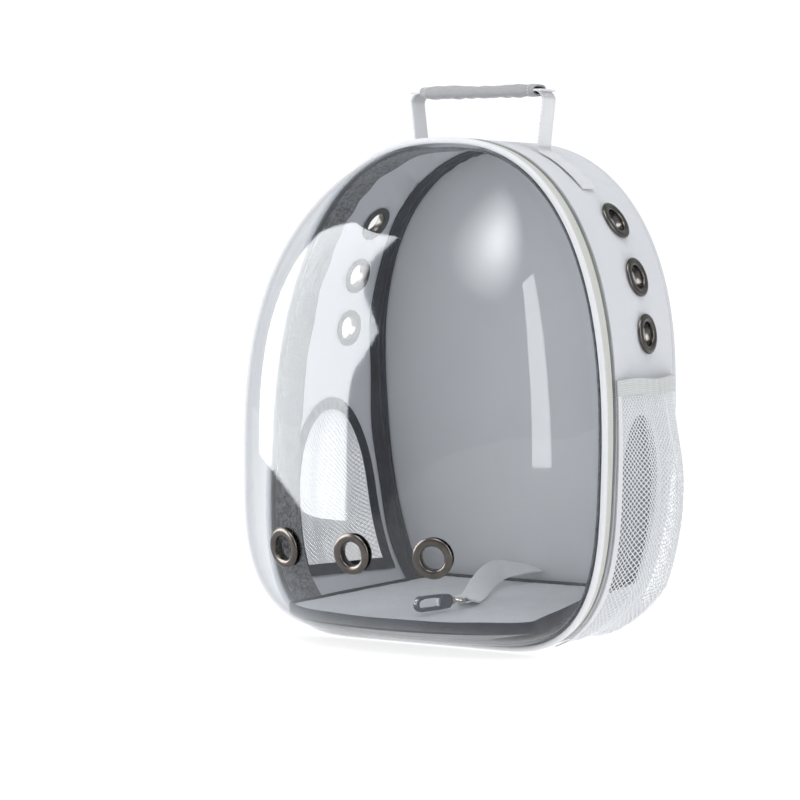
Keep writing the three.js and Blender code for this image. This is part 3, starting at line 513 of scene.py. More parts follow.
webbing_cloth = woven("webbing_cloth", (0.76, 0.76, 0.78), (0.93, 0.93, 0.94), 2.0 * MM,
                      depth=0.3 * MM, twill=True, sheen=0.3)
grip_cloth = woven("grip_cloth", (0.27, 0.27, 0.28), (0.50, 0.50, 0.52), 0.8 * MM, depth=0.08 * MM)
panel_cloth = woven("panel_cloth", (0.55, 0.56, 0.58), (0.74, 0.75, 0.77), 1.0 * MM, depth=0.025 * MM)
pad_cloth = woven("pad_cloth", (0.17, 0.18, 0.19), (0.36, 0.37, 0.39), 2.4 * MM, depth=0.35 * MM)
velour = brushed("charcoal_velour", (0.004, 0.005, 0.008), (0.040, 0.043, 0.060), 420, 0.5 * MM,
                 sheen=0.2, folds=28)
board_cloth = brushed("board_cloth", (0.022, 0.023, 0.026), (0.075, 0.077, 0.082), 600, 0.3 * MM)
plush_pile = brushed("white_plush", (0.60, 0.61, 0.64), (0.88, 0.89, 0.92), 520, 1.2 * MM, sheen=0.9,
                     folds=16)

# %% [markdown]
# The knitted facing behind the rim shows rows of dark loops with pale flecks. A Voronoi pattern
# gives the loops, and a stretched noise the flecks.

# %% Knit
def knitted(name, dark, light):
    recipe = Recipe(name, sheen_weight=0.3, sheen_roughness=0.5, specular_ior_level=0.2, roughness=0.9)
    place = recipe.place()
    loops = recipe.node("TexVoronoi", {}, {"Vector": place, "Scale": 420.0}, out="Distance")
    flecks = recipe.noise(160, 4, 0.75, place)
    shade = ((1 - loops * 1.3) * 0.5 + (flecks - 0.42) * 1.5).clamped()
    recipe.set(Base_Color=recipe.blend(shade, dark, light))
    recipe.bump(loops, 0.5 * MM)
    return recipe.material


dark_knit = knitted("knitted_facing", (0.06, 0.06, 0.065), (0.36, 0.36, 0.37))

# %% [markdown]
# ## Metals, plastics and the clear shell
# The eyelets are dark plated brass, polished, with a warm brown tone and faint tumbling marks.
# The shell mixes a clear, barely grey pass-through with a glossy coat. The coat's share grows
# with the fifth power of how far the surface turns away, which is how plastic mirrors from
# either side. The pass-through lets lamps through into the cabin.

# %% Metal, lacquer, plastic and clear shell
def metal(name, dark, light, rough, scratches=900):
    recipe = Recipe(name, metallic=1.0, specular_ior_level=0.5)
    place = recipe.place()
    marks, haze = recipe.noise(scratches, 2, 0.6, place), recipe.noise(120, 3, 0.6, place)
    recipe.set(Base_Color=recipe.blend(haze, dark, light), Roughness=marks * 0.12 + (rough - 0.04))
    recipe.bump(marks, 0.01 * MM)
    return recipe.material


def moulded(name, dark, light, rough, coat=0.0, grain=700, depth=0.03 * MM):
    recipe = Recipe(name, specular_ior_level=0.5, coat_weight=coat, coat_roughness=0.12)
    place = recipe.place()
    skin, worn = recipe.noise(grain, 2, 0.6, place), recipe.noise(60, 4, 0.6, place)
    recipe.set(Base_Color=recipe.blend(worn, dark, light), Roughness=skin * 0.15 + (rough - 0.07))
    recipe.bump(skin, depth)
    return recipe.material


def clear_plastic():
    recipe = Recipe("clear_shell", base_color=(0.86, 0.88, 0.90, 1), roughness=0.03, metallic=1.0)
    tree = recipe.tree
    ripple = recipe.noise(7, 2, 0.5)
    recipe.bump(ripple, 0.6 * MM, 0.35)
    recipe.set(Roughness=ripple * 0.03 + 0.02)
    facing = recipe.node("LayerWeight", {}, {"Blend": 0.5}, out="Facing")
    edge = (facing ** 5.0) * 0.80 + 0.030
    tint = recipe.blend((facing ** 2.5).clamped(), (0.955, 0.96, 0.965), (0.80, 0.815, 0.835))
    through = recipe.node("BsdfTransparent", {}, {"Color": tint})
    mixed = recipe.node("MixShader", {}, {0: edge, 1: through})
    tree.links.new(recipe.shader.outputs[0], mixed.socket.node.inputs[2])
    tree.links.new(mixed.socket, tree.nodes["Material Output"].inputs["Surface"])
    return recipe.material


gunmetal = metal("gunmetal", (0.05, 0.045, 0.042), (0.12, 0.11, 0.10), 0.24)
steel = metal("plated_steel", (0.36, 0.32, 0.27), (0.62, 0.58, 0.52), 0.22)
slate = moulded("slate_lacquer", (0.022, 0.03, 0.045), (0.06, 0.075, 0.10), 0.34, coat=0.4)
teeth_plastic = moulded("zip_teeth", (0.16, 0.175, 0.165), (0.34, 0.36, 0.34), 0.42)
grey_plastic = moulded("buckle_plastic", (0.20, 0.21, 0.22), (0.34, 0.35, 0.36), 0.42)
clear_shell = clear_plastic()

# %% [markdown]
# ## The camera and the light
# The photograph was taken from the left front, a little above the middle, with a long lens. The
# same camera is set here from its bearing, its distance and its height. The light is a pale
# studio: a white floor and backdrop, a big soft source above, and tall soft panels that the dome
# mirrors, one over its left third and one narrow strip right of the middle.

# %% Camera
BEARING, PITCH = math.radians(33.69), math.radians(3.28)
EYE_DISTANCE, EYE_HEIGHT, EYE_SIDE = 2.54794, 0.3511, -0.0203
LENS = 137.83  # millimetres on a 36 mm wide sensor

looking = Vector((-math.sin(BEARING) * math.cos(PITCH), math.cos(BEARING) * math.cos(PITCH),
                  -math.sin(PITCH)))
rightwards = Vector((math.cos(BEARING), math.sin(BEARING), 0))
eye = Vector((math.sin(BEARING) * EYE_DISTANCE, -math.cos(BEARING) * EYE_DISTANCE + SHIFT,
              EYE_HEIGHT)) + rightwards * EYE_SIDE
deselect()
bpy.ops.object.camera_add(location=eye, rotation=looking.to_track_quat("-Z", "Y").to_euler())
camera = bpy.context.object
camera.data.lens, camera.data.sensor_width = LENS, 36
camera.data.clip_start, camera.data.clip_end = 0.1, 50
bpy.context.scene.camera = camera
bpy.context.scene.view_settings.view_transform = "Standard"

# %% Floor and backdrop
deselect()
bpy.ops.mesh.primitive_plane_add(size=24, location=(0, 0, -0.0004))
floor = bpy.context.object
floor.name = "studio_floor"
floor_paint = Recipe("studio_floor_paint", base_color=(0.45, 0.45, 0.455, 1), roughness=0.9,
                     specular_ior_level=0.0)
floor_paint.set(Emission_Color=(1, 1, 1, 1), Emission_Strength=0.80)
floor.data.materials.append(floor_paint.material)

world = bpy.data.worlds.new("studio_air")
bpy.context.scene.world = world
world.use_nodes = True
air = world.node_tree.nodes["Background"]
air.inputs["Color"].default_value = (0.70, 0.72, 0.745, 1)
air.inputs["Strength"].default_value = 0.86
seen = world.node_tree.nodes.new("ShaderNodeBackground")
seen.inputs["Color"].default_value = (1, 1, 1, 1)
seen.inputs["Strength"].default_value = 1.05
rays = world.node_tree.nodes.new("ShaderNodeLightPath")
either = world.node_tree.nodes.new("ShaderNodeMixShader")
world.node_tree.links.new(rays.outputs["Is Camera Ray"], either.inputs[0])
world.node_tree.links.new(air.outputs[0], either.inputs[1])
world.node_tree.links.new(seen.outputs[0], either.inputs[2])
world.node_tree.links.new(either.outputs[0], world.node_tree.nodes["World Output"].inputs[0])

# %% Lights
CENTRE = Vector((0, 0, 0.21))


def softbox(name, place, size, power, mirrored=True, lighting=True, aim=CENTRE):
    """An area light that faces the carrier. It can light, be mirrored, or do both."""
    data = bpy.data.lights.new(name, "AREA")
    data.shape, data.size, data.size_y, data.energy = "RECTANGLE", size[0], size[1], power
    lamp = bpy.data.objects.new(name, data)
    bpy.context.scene.collection.objects.link(lamp)
    lamp.location = place
    lamp.rotation_euler = (aim - Vector(place)).to_track_quat("-Z", "Y").to_euler()
    lamp.visible_glossy, lamp.visible_diffuse = mirrored, lighting
    lamp.visible_camera = False
    return lamp


softbox("overhead", (0.2, -0.3, 2.4), (2.4, 2.4), 20, mirrored=False)
softbox("left_key", (-2.0, -1.9, 1.3), (1.4, 1.6), 10, mirrored=False)
softbox("right_fill", (2.6, 0.2, 1.0), (1.4, 1.8), 5, mirrored=False)


def by_bearing(bearing, height, distance):
    """A place round the carrier. Bearing 0 is in front of it, and 90 to its right."""
    turn = math.radians(bearing)
    return (math.sin(turn) * distance, -math.cos(turn) * distance, height)


def glowing_panel(name, bearing, distance, corners, strength):
    """A flat panel of light that only shows in mirrors. Corners are (across, height) in metres."""
    turn = math.radians(bearing)
    middle = Vector((math.sin(turn), -math.cos(turn), 0)) * distance
    sideways = Vector((math.cos(turn), math.sin(turn), 0))
    mesh = bpy.data.meshes.new(name)
    mesh.from_pydata([middle + sideways * across + Vector((0, 0, height)) for across, height in corners],
                     [], [tuple(range(len(corners)))])
    panel_light = bpy.data.objects.new(name, mesh)
    bpy.context.scene.collection.objects.link(panel_light)
    panel_light.visible_camera = panel_light.visible_diffuse = panel_light.visible_shadow = False
    paint = Recipe(name, base_color=(0, 0, 0, 1), roughness=1.0, specular_ior_level=0.0)
    paint.set(Emission_Color=(1, 1, 1, 1), Emission_Strength=strength)
    mesh.materials.append(paint.material)


glowing_panel("studio_left_mirror", -72, 2.5, [
    (-0.55, 0.02), (1.95, 0.02), (1.95, 1.5), (0.58, 3.47), (-0.07, 3.3), (-0.52, 2.33)], 11.5)
glowing_panel("studio_side_glow", -128, 1.25, [(-1.1, 0.02), (0.8, 0.02), (0.8, 1.3), (-1.1, 1.3)], 1.2)
softbox("right_strip", by_bearing(76, 1.2, 2.5), (0.95, 2.4), 38, lighting=False,
        aim=Vector((0, 0, 1.2)))

# %% The soft round glow above the dome
deselect()
glow_place = Vector((0.40, -0.86, 2.2))
bpy.ops.mesh.primitive_circle_add(vertices=64, radius=1.25, fill_type="TRIFAN", location=glow_place,
                                  rotation=(CENTRE - glow_place).to_track_quat("Z", "Y").to_euler())
glow = bpy.context.object
glow.name = "studio_glow"
glow.visible_camera = glow.visible_diffuse = glow.visible_shadow = False
glow_light = Recipe("studio_glow_light", base_color=(0, 0, 0, 1), roughness=1.0)
middle = glow_light.node("TexGradient", {"gradient_type": "SPHERICAL"}, {
    "Vector": glow_light.node("Mapping", {}, {"Vector": glow_light.place(), "Scale": (0.8, 0.8, 0.8)})},
    out="Fac")
glow_light.set(Emission_Color=(1, 1, 1, 1), Emission_Strength=12.0)
clear_edge = glow_light.node("BsdfTransparent")
faded = glow_light.node("MixShader", {}, {0: (middle ** 1.3).clamped(), 1: clear_edge})
glow_light.tree.links.new(glow_light.shader.outputs[0], faded.socket.node.inputs[2])
glow_light.tree.links.new(faded.socket, glow_light.tree.nodes["Material Output"].inputs["Surface"])
glow.data.materials.append(glow_light.material)

# %% [markdown]
# ## The clear shell
# The dome and its flange are one moulding. A grid runs round the rim and from the middle of the
# dome out to the flange's rear edge. Its rows are closer where the dome curves more. Solidify
# gives the wall, and three cylinders cut the holes for the front eyelets.

# %% Shell
EYELET = dict(hole=0.010, outer=0.017, barrel=0.002, flange=0.0023)
FRONT_EYELETS = [(-72.7 * MM, 86 * MM), (0.0, 86 * MM), (72.7 * MM, 86 * MM)]
HOLE = EYELET["hole"] + EYELET["barrel"] + 0.3 * MM
DOME_SHARE = 0.86  # of the grid's rows, the rest is the flange


def shell_place(u, v):
    angle = np.clip(v / DOME_SHARE, 0, 1) * math.pi / 2
    back = np.clip((v - DOME_SHARE) / (1 - DOME_SHARE), 0, 1) * SHELL_FLANGE
    share = u * 2
    dome = bubble(share, np.minimum(angle, math.pi / 2 - 1e-5))
    flange = wall_back(share, back, FLANGE_OUT)
    return np.where((v > DOME_SHARE - 1e-6)[:, None], flange, dome)


def hole_tool(place, normal, radius=HOLE):
    """A cylinder across the wall, to cut a round hole with."""
    deselect()
    turn = Vector(normal).to_track_quat("Z", "Y").to_euler()
    bpy.ops.mesh.primitive_cylinder_add(vertices=64, radius=radius, depth=0.03,
                                        location=place, rotation=turn)
    tool = bpy.context.object
    bpy.ops.object.transform_apply(location=True, rotation=True, scale=True)
    return tool


front_places = [bubble_over(x, z) for x, z in FRONT_EYELETS]
shell = bent_grid("clear_dome", 300, 86, shell_place, joined=True, outwards=(0, 0.1, 0.2))
thicken(shell, SHELL_WALL)
cut(shell, *[hole_tool(*place) for place in front_places])
finish(shell, clear_shell, "clear_shell", "shell", angle=50)

# %% [markdown]
# ## Eyelets
# An eyelet is a pressed ring: a domed collar that rolls over into a barrel through the wall, and
# a flat washer behind. Its section is drawn as a line of edges and spun round, once. Nine copies
# stand where the CAD has them, three on the dome and three on each side.

# %% Eyelets
def eyelet_ring(wall_thick, bend):
    """One eyelet on the Z axis, with its collar over z = 0 and its washer under the wall."""
    seat = 0.8 * MM
    under = -(wall_thick + EYELET["outer"] ** 2 / (2 * bend) + 0.8 * MM)
    hole, outer, flange = EYELET["hole"], EYELET["outer"], EYELET["flange"]
    roll = [(hole + (outer - hole) * (1 - math.cos(a)) / 2,
             seat + flange * math.sin(a) ** 0.75) for a in np.linspace(0.0, math.pi, 17)]
    section = [*roll[1:], (outer - 0.4 * MM, seat - 0.1 * MM), (hole + EYELET["barrel"], seat),
               (hole + EYELET["barrel"], under), (outer - 0.9 * MM, under),
               (outer - 1.0 * MM, under - 0.6 * MM), (hole + 2.2 * MM, under - 1.2 * MM),
               (hole + 0.5 * MM, under - 0.9 * MM), (hole, under)]
    mesh = bpy.data.meshes.new("eyelet")
    mesh.from_pydata([(r, 0, z) for r, z in section], [
        (i, (i + 1) % len(section)) for i in range(len(section))], [])
    ring = bpy.data.objects.new("eyelet", mesh)
    bpy.context.scene.collection.objects.link(ring)
    edit_all(ring, (bpy.ops.mesh.spin, dict(steps=56, angle=TURN, center=(0, 0, 0), axis=(0, 0, 1))))
    return closed_tidy(ring)


def set_eyelet(name, place, normal, wall_thick, bend):
    turn = Vector((0, 0, 1)).rotation_difference(Vector(normal)).to_matrix().to_4x4()
    ring = eyelet_ring(wall_thick, bend)
    move_points(ring, points_of(ring) @ np.array(turn)[:3, :3].T + np.array(place))
    ring.name = name + "_ring"
    return finish(ring, gunmetal, "gunmetal", name, angle=35)


BODY_WALL = 3 * MM
SIDE_EYELETS = dict(highest=0.354, spacing=0.047, depth=0.64)
side_places = {}
for i, (place, normal) in enumerate(front_places):
    set_eyelet(f"shell_eyelet_{i + 1}", place, normal, SHELL_WALL, 0.075)
for word, side in (("left", -1), ("right", 1)):
    side_places[word] = []
    for i in range(3):
        height = SIDE_EYELETS["highest"] - i * SIDE_EYELETS["spacing"]
        share = on_side(side, share_at_height(height, SIDE_EYELETS["depth"]))
        place, normal = wall(share, SIDE_EYELETS["depth"]), wall_normal(share, SIDE_EYELETS["depth"])
        side_places[word].append((place, normal, share))
        set_eyelet(f"side_eyelet_{word}_{i + 1}", place, normal, BODY_WALL, 0.150)

# %% [markdown]
# ## The fabric body
# The wall is coated cloth over thin foam. It stands by itself, but it isn't stiff: it dips
# between its seams, puckers a little round each eyelet and folds softly where the handle pulls
# on it. A fine grid follows the ruled wall, a few named folds lift it, and booleans cut the
# eyelet holes and the two arched windows.

# %% Folds of the body
# Where a fold starts and ends on the right wall (share, back), its width and its lift.
BODY_FOLDS = [
    dict(start=(0.865, 0.070), end=(0.800, 0.150), width=4.5 * MM, lift=1.3 * MM),
    dict(start=(0.850, 0.062), end=(0.770, 0.128), width=5.0 * MM, lift=-1.1 * MM),
    dict(start=(0.935, 0.045), end=(0.880, 0.105), width=4.0 * MM, lift=1.0 * MM),
    dict(start=(0.620, 0.040), end=(0.700, 0.140), width=9.0 * MM, lift=0.8 * MM),
    dict(start=(0.520, 0.035), end=(0.585, 0.075), width=7.0 * MM, lift=-0.8 * MM),
    dict(start=(0.160, 0.035), end=(0.230, 0.120), width=7.0 * MM, lift=0.8 * MM),
]


def fold_lift(share, back, folds):
    """How far the folds lift a sheet, with share and back measured as real lengths."""
    along = np.minimum(share, 2 - share) * RIM["length"] / 2
    lift = np.zeros_like(along)
    for fold in folds:
        (s0, b0), (s1, b1) = fold["start"], fold["end"]
        a, b = np.array([s0 * RIM["length"] / 2, b0]), np.array([s1 * RIM["length"] / 2, b1])
        line = b - a
        here = np.stack([along - a[0], back - a[1]], axis=-1)
        t = np.clip(here @ line / (line @ line), 0, 1)
        away = np.linalg.norm(here - t[..., None] * line, axis=-1)
        lift += fold["lift"] * np.exp(-(away / fold["width"]) ** 2) * np.sin(math.pi * (0.12 + 0.76 * t))
    return lift


def body_relief(share, back, length):
    """The cloth's softness: dips between the seams, folds, and puckers at the eyelets."""
    between = np.sin(math.pi * np.clip((back - BODY_FRONT) / (length - BODY_FRONT), 0, 1))
    slack = -0.9 * MM * between * (0.6 + 0.4 * np.sin(share * 17.0) * np.sin(share * 7.3 + 1.0))
    pull = 0.35 * MM * np.sin(share * 120.0 + 3 * np.sin(share * 23.0)) * np.exp(
        -(back - BODY_FRONT) / (7 * MM))
    lift = slack + pull + fold_lift(share, back, BODY_FOLDS)
    for word in ("left", "right"):
        for _, _, at in side_places[word]:
            across = (share - at) * RIM["length"] / 2
            behind = back - SIDE_EYELETS["depth"] * length
            away = np.hypot(across, behind)
            ripple = 0.35 * MM * np.sin(9 * np.arctan2(across, behind))
            near = np.clip((away - 14 * MM) / (6 * MM), 0, 1) * np.exp(-(away / (26 * MM)) ** 2)
            lift = np.where(away < 20 * MM, lift * np.clip(away / (20 * MM), 0, 1) ** 2, lift)
            lift = lift + ripple * near - 0.5 * MM * np.exp(-(away / (18 * MM)) ** 2) * (away > 17 * MM)
    return lift


# %% Body and windows
WINDOW = dict(low=0.047, high=0.194, width=0.100, depth=0.51, shoulder=0.45)
SPAN = REAR["behind"] - RIM["behind"]


def window_half(rise, grow):
    """Half the window's width, as depth, at a rise from 0 at its sill to 1 at its crown."""
    shoulder = np.clip((rise - WINDOW["shoulder"]) / (1 - WINDOW["shoulder"]), 0, 1)
    return (WINDOW["width"] / 2 + grow) / SPAN * np.sqrt(np.clip(1 - shoulder ** 2.2, 1e-4, 1))


def window_patch(name, side, out, grow, columns=40, rows=64):
    def place(u, v):
        rise = np.sin(v * math.pi / 2) ** 1.0 * 0.5 + v * 0.5
        height = WINDOW["low"] - grow + (WINDOW["high"] - WINDOW["low"] + 2 * grow) * rise
        depth = WINDOW["depth"] + window_half(rise, grow) * (2 * u - 1)
        return wall(on_side(side, share_at_height(height, depth)), depth, out)

    return bent_grid(name, columns, rows, place, size=(0.1, 0.15), outwards=(0, 0.04, 0.2))


def body_place(u, v):
    share = u * 2
    length = wall_length(share)
    back = BODY_FRONT + (length - 0.3 * MM - BODY_FRONT) * v
    seam = np.minimum(v, 1 - v)
    soft = np.clip(seam / 0.05, 0, 1)
    ground = np.clip((np.minimum(share, 2 - share) - 0.13) / 0.05, 0, 1)
    return wall_back(share, back, body_relief(share, back, length) * soft * ground)


body = bent_grid("fabric_body", 560, 62, body_place, size=(1.25, 0.145), joined=True,
                 outwards=(0, 0.04, 0.2))
thicken(body, BODY_WALL)
holes = [hole_tool(place, normal) for word in side_places for place, normal, _ in side_places[word]]
windows = []
for side in (-1, 1):
    tool = window_patch("window_tool", side, -0.012, 0.0)
    thicken(tool, 0.026, offset=1.0)
    windows.append(closed_tidy(tool))
cut(body, *holes, *windows)
finish(body, white_fabric, "white_fabric", "body_gusset", angle=50)

# %% [markdown]
# ## Rim: piping, tape and zip
# Round the dome's edge runs a cord covered in white cloth, then a woven tape, then the coil of
# the zip. The cord is a grid rolled into a tube. The coil is one small loop of nylon, modelled
# once as a short eight-sided bar and set some six hundred times on each side of the zip.

# %% Piping and tape
PIPING = 2.6 * MM
GAP = 0.3 * MM
TAPE_FRONT, TAPE_REAR = 2 * PIPING + 2 * GAP, 2 * PIPING + 2 * GAP + 11.5 * MM
CHAIN_FRONT, CHAIN_REAR = TAPE_REAR + GAP, TAPE_REAR + GAP + 5 * MM


def round_band(name, front, rear, out, thick, material, slot, *nodes, relief=None, rows=8, columns=480):
    """A band that runs right round the wall, from front to rear behind the rim."""
    def place(u, v):
        back = front(u) * (1 - v) + rear(u) * v
        lift = relief(u, v) if relief else 0.0
        return wall_back(u * 2, back, out - lift)

    band = bent_grid(name, columns, rows, place, size=(1.25, 0.02), joined=True, outwards=(0, 0.04, 0.2))
    thicken(band, thick)
    return finish(band, material, slot, *nodes)


def even(value):
    return lambda u: np.full_like(u, value)


def piping_place(u, v):
    turn = v * TURN
    return wall_back(u * 2, GAP + PIPING * (1 + np.cos(turn)), PIPING * (np.sin(turn) - 1))


piping = closed_tidy(bent_grid("rim_piping", 560, 14, piping_place, size=(1.25, 0.0163), joined=True))
finish(piping, piping_cloth, "piping", "shell_piping", angle=60)
round_band("zip_tape_band", even(TAPE_FRONT), even(TAPE_REAR), -1 * MM, 1.2 * MM, tape_cloth,
           "tape", "zip_tape", rows=6)
round_band("zip_bed", even(CHAIN_FRONT), even(CHAIN_REAR), -2.1 * MM, 0.6 * MM, tape_cloth, "tape", rows=3)

# %% Zip coil
COIL_PITCH = 2.1 * MM


def line_on_wall(shares, back, out):
    """Places, directions and normals along a line round the wall."""
    points = wall_back(shares, back, out)
    ahead = wall_back(shares + 1e-3, back, out)
    length = wall_length(shares)
    return points, ahead - points, wall_normal(shares, back / length)


def evenly_round(pitch, back, start=0.0, end=2.0):
    """Shares that lie a pitch apart along the wall."""
    fine = np.linspace(start, end, 4000)
    points = wall_back(fine, np.full_like(fine, back), 0.0)
    run = np.concatenate([[0], np.cumsum(np.linalg.norm(np.diff(points, axis=0), axis=1))])
    count = max(2, int(run[-1] / pitch))
    return np.interp(np.arange(count) * run[-1] / count, run, fine)


def coil_side(back, offset):
    shares = evenly_round(COIL_PITCH, back) + offset
    points, forward, normals = line_on_wall(shares, np.full_like(shares, back), -1.35 * MM)
    return frames(points, forward, normals)


deselect()
bpy.ops.mesh.primitive_cylinder_add(vertices=8, radius=0.62 * MM, depth=2.9 * MM,
                                    rotation=(math.pi / 2, 0, 0))
coil_loop = bpy.context.object
bpy.ops.object.transform_apply(location=True, rotation=True, scale=True)
half_turn = COIL_PITCH / RIM["length"]
coil = copies("zip_coil", coil_loop, [*coil_side(CHAIN_FRONT + 1.55 * MM, 0.0),
                                      *coil_side(CHAIN_REAR - 1.55 * MM, half_turn)])
finish(coil, teeth_plastic, "teeth", "zip_chain", angle=70)

# %% [markdown]
# Stitches hold every seam. A stitch is a tiny spindle, modelled once: a six-sided bar whose ends
# taper. It is set along each seam at the seam's own pitch, half sunk in the cloth.

# %% Stitches
def stitch_model(length=2.4 * MM, thick=0.3 * MM):
    deselect()
    bpy.ops.mesh.primitive_uv_sphere_add(segments=6, ring_count=4, radius=1)
    stitch = bpy.context.object
    stitch.scale = (length / 2, thick, thick)
    bpy.ops.object.transform_apply(location=False, rotation=False, scale=True)
    return stitch


def along_line(points, normals, pitch=3.2 * MM):
    """Stitch places along a line of points with a normal at each."""
    run = np.concatenate([[0], np.cumsum(np.linalg.norm(np.diff(points, axis=0), axis=1))])
    at = (np.arange(max(2, int(run[-1] / pitch))) + 0.5) * pitch
    at = at[at < run[-1]]
    spots = np.stack([np.interp(at, run, points[:, i]) for i in range(3)], axis=-1)
    ahead = np.stack([np.interp(at + 0.5 * MM, run, points[:, i]) for i in range(3)], axis=-1)
    behind = np.stack([np.interp(at - 0.5 * MM, run, points[:, i]) for i in range(3)], axis=-1)
    facing = np.stack([np.interp(at, run, normals[:, i]) for i in range(3)], axis=-1)
    return frames(spots, ahead - behind, unit(facing))


def sew(name, lines, material, slot, **size):
    """One piece of stitches along several lines, each (points, normals) or with a pitch too."""
    places = np.concatenate([along_line(*line) for line in lines])
    return finish(copies(name, stitch_model(**size), list(places)), material, slot, angle=80)


def wall_seam(back, out, pitch=3.2 * MM, start=0.0, end=2.0):
    shares = np.linspace(start, end, 700)
    backs = np.full_like(shares, back)
    return wall_back(shares, backs, out), wall_normal(shares, backs / wall_length(shares)), pitch


thread = moulded("sewing_thread", (0.66, 0.66, 0.68), (0.86, 0.86, 0.88), 0.6, grain=2500)
sew("tape_stitches", [wall_seam(back, -0.95 * MM) for back in (TAPE_FRONT + 1.6 * MM, TAPE_REAR - 1.6 * MM)],
    thread, "tape")

# %% [markdown]
# Behind the rim, inside, a knitted facing hides the flange. It is cut unevenly, so its edge
# waves. The wall's back corner is bound in charcoal velour, which is eased round the arch and
# so stands in short folds.

# %% Facing and corner binding
FACING_OUT, FACING_THICK = -8.1 * MM, 1.2 * MM


def facing_rear(u):
    wave = np.sin(u * 61) * 0.9 + np.sin(u * 137 + 1.3) * 0.7 + np.sin(u * 29 + 0.4) * 1.1
    return 34 * MM + wave * MM * 0.75


def facing_relief(u, v):
    return v * (0.5 + 0.5 * np.sin(u * 190 + 4 * np.sin(u * 31))) * 1.4 * MM


round_band("knitted_facing_band", even(6 * MM), facing_rear, FACING_OUT, FACING_THICK,
           dark_knit, "dark_knit", "zip_facing", relief=facing_relief, rows=14)

BINDING_OUT = -BODY_WALL - 0.8 * MM


def binding_relief(u, v):
    """Ridges along the binding, broken into short folds."""
    lean = 6 * np.sin(u * 23) + 3 * np.sin(u * 57 + 2)
    front, rear = 0.38 + 0.10 * np.sin(u * 41), 0.74 + 0.08 * np.sin(u * 67 + 1)
    ridge = bump_hill(v, front, 0.16) + 0.8 * bump_hill(v, rear, 0.11)
    crease = 0.5 + 0.5 * np.sin(u * 300 + lean + v * 7)
    return (2.2 * ridge * (0.72 + 0.28 * crease) + 0.5 * crease * np.sin(math.pi * v)) * MM


def corner_front(u):
    return wall_length(u * 2) - (0.8 + 20 + 1.2 * np.sin(u * 75)) * MM


def corner_rear(u):
    return wall_length(u * 2) - 0.8 * MM


round_band("corner_velour", corner_front, corner_rear, BINDING_OUT, 1.6 * MM, velour,
           "charcoal", "corner_binding", relief=binding_relief, rows=22, columns=560)

# %% [markdown]
# ## Zip slider
# The slider rides on the coil low on the left: a small cast body with a bridge, and a flat pull
# with a hole, hanging down the seam.

# %% Slider
def rounded_box(name, size, centre=(0, 0, 0), bevel=0.5 * MM, segments=2):
    deselect()
    bpy.ops.mesh.primitive_cube_add(size=1, location=centre)
    box = bpy.context.object
    box.name = name
    box.scale = size
    bpy.ops.object.transform_apply(location=True, rotation=True, scale=True)
    return apply(box, "BEVEL", width=bevel, segments=segments, limit_method="ANGLE")


def joined(name, first, *others):
    for other in others:
        apply(first, "BOOLEAN", operation="UNION", solver="EXACT", object=other)
        bpy.data.objects.remove(other)
    first.name = name
    return first


slider_body = rounded_box("slider_body", (3.4 * MM, 8 * MM, 11 * MM), bevel=1.1 * MM, segments=3)
slider_bridge = rounded_box("slider_bridge", (1.2 * MM, 2.2 * MM, 7 * MM), (-1.9 * MM, 0, 0), 0.4 * MM)
slider_pull = rounded_box("slider_pull", (1.3 * MM, 6 * MM, 22 * MM), (-0.85 * MM, 0, -12.8 * MM), 0.5 * MM)
deselect()
bpy.ops.mesh.primitive_cylinder_add(vertices=24, radius=1.7 * MM, depth=6 * MM,
                                    location=(-0.85 * MM, 0, -20.5 * MM), rotation=(0, math.pi / 2, 0))
slider = joined("zip_slider_cast", slider_body, slider_bridge, cut(slider_pull, bpy.context.object))
slide_depth = (CHAIN_FRONT + CHAIN_REAR) / 2 / SPAN
slide_share = 2 - share_at_height(0.252, slide_depth)
slide_out = wall_normal(slide_share, slide_depth)
slide_up = unit(wall_bare(slide_share - 0.01, slide_depth) - wall_bare(slide_share + 0.01, slide_depth))
slide_turn = np.stack([-slide_out, unit(np.cross(slide_up, slide_out)), slide_up], axis=-1)
move_points(slider, points_of(slider) @ slide_turn.T + wall(slide_share, slide_depth, GAP + 1.7 * MM))
finish(slider, steel, "steel", "zip_slider", angle=35)

# %% [markdown]
# ## Nets
# The windows have a fine net and the pockets a coarse one. A printed pattern would look flat
# from the side, so each net is real strands: two families of lines cross the sheet on the
# slant, each a curve with a small bevel that weaves over and under the other family.

# %% A net over any sheet
def net(name, place, width, height, mesh_size, thread_radius, weave=0.12 * MM):
    """Strands over a sheet. place(a, b, lift) gives its points, with a and b from 0 to 1."""
    curve = bpy.data.curves.new(name, "CURVE")
    curve.dimensions, curve.bevel_depth, curve.bevel_resolution = "3D", thread_radius, 0
    curve.use_fill_caps = True
    count = int((width + height) / mesh_size)
    for lean in (1, -1):
        for k in range(1, count):
            start = k * mesh_size - (0 if lean > 0 else height)
            rows = np.arange(0, height + mesh_size / 4, mesh_size / 2)
            across = start - lean * rows
            inside = (across >= -1e-9) & (across <= width + 1e-9)
            if inside.sum() < 2:
                continue
            a, b = across[inside] / width, rows[inside] / height
            over = np.where((np.round(rows[inside] / (mesh_size / 2)).astype(int) + k) % 2 == 0, 1, -1)
            points = place(np.clip(a, 0, 1), np.clip(b, 0, 1), lean * over * weave)
            strand = curve.splines.new("POLY")
            strand.points.add(len(points) - 1)
            strand.points.foreach_set("co", np.hstack([points, np.ones((len(points), 1))]).ravel())
    piece = bpy.data.objects.new(name, curve)
    bpy.context.scene.collection.objects.link(piece)
    pick(piece)
    bpy.ops.object.convert(target="MESH")
    return bpy.context.object


# %% Window nets and their velour edges
NET_OUT = -BODY_WALL - 0.8 * MM + 1.2 * MM


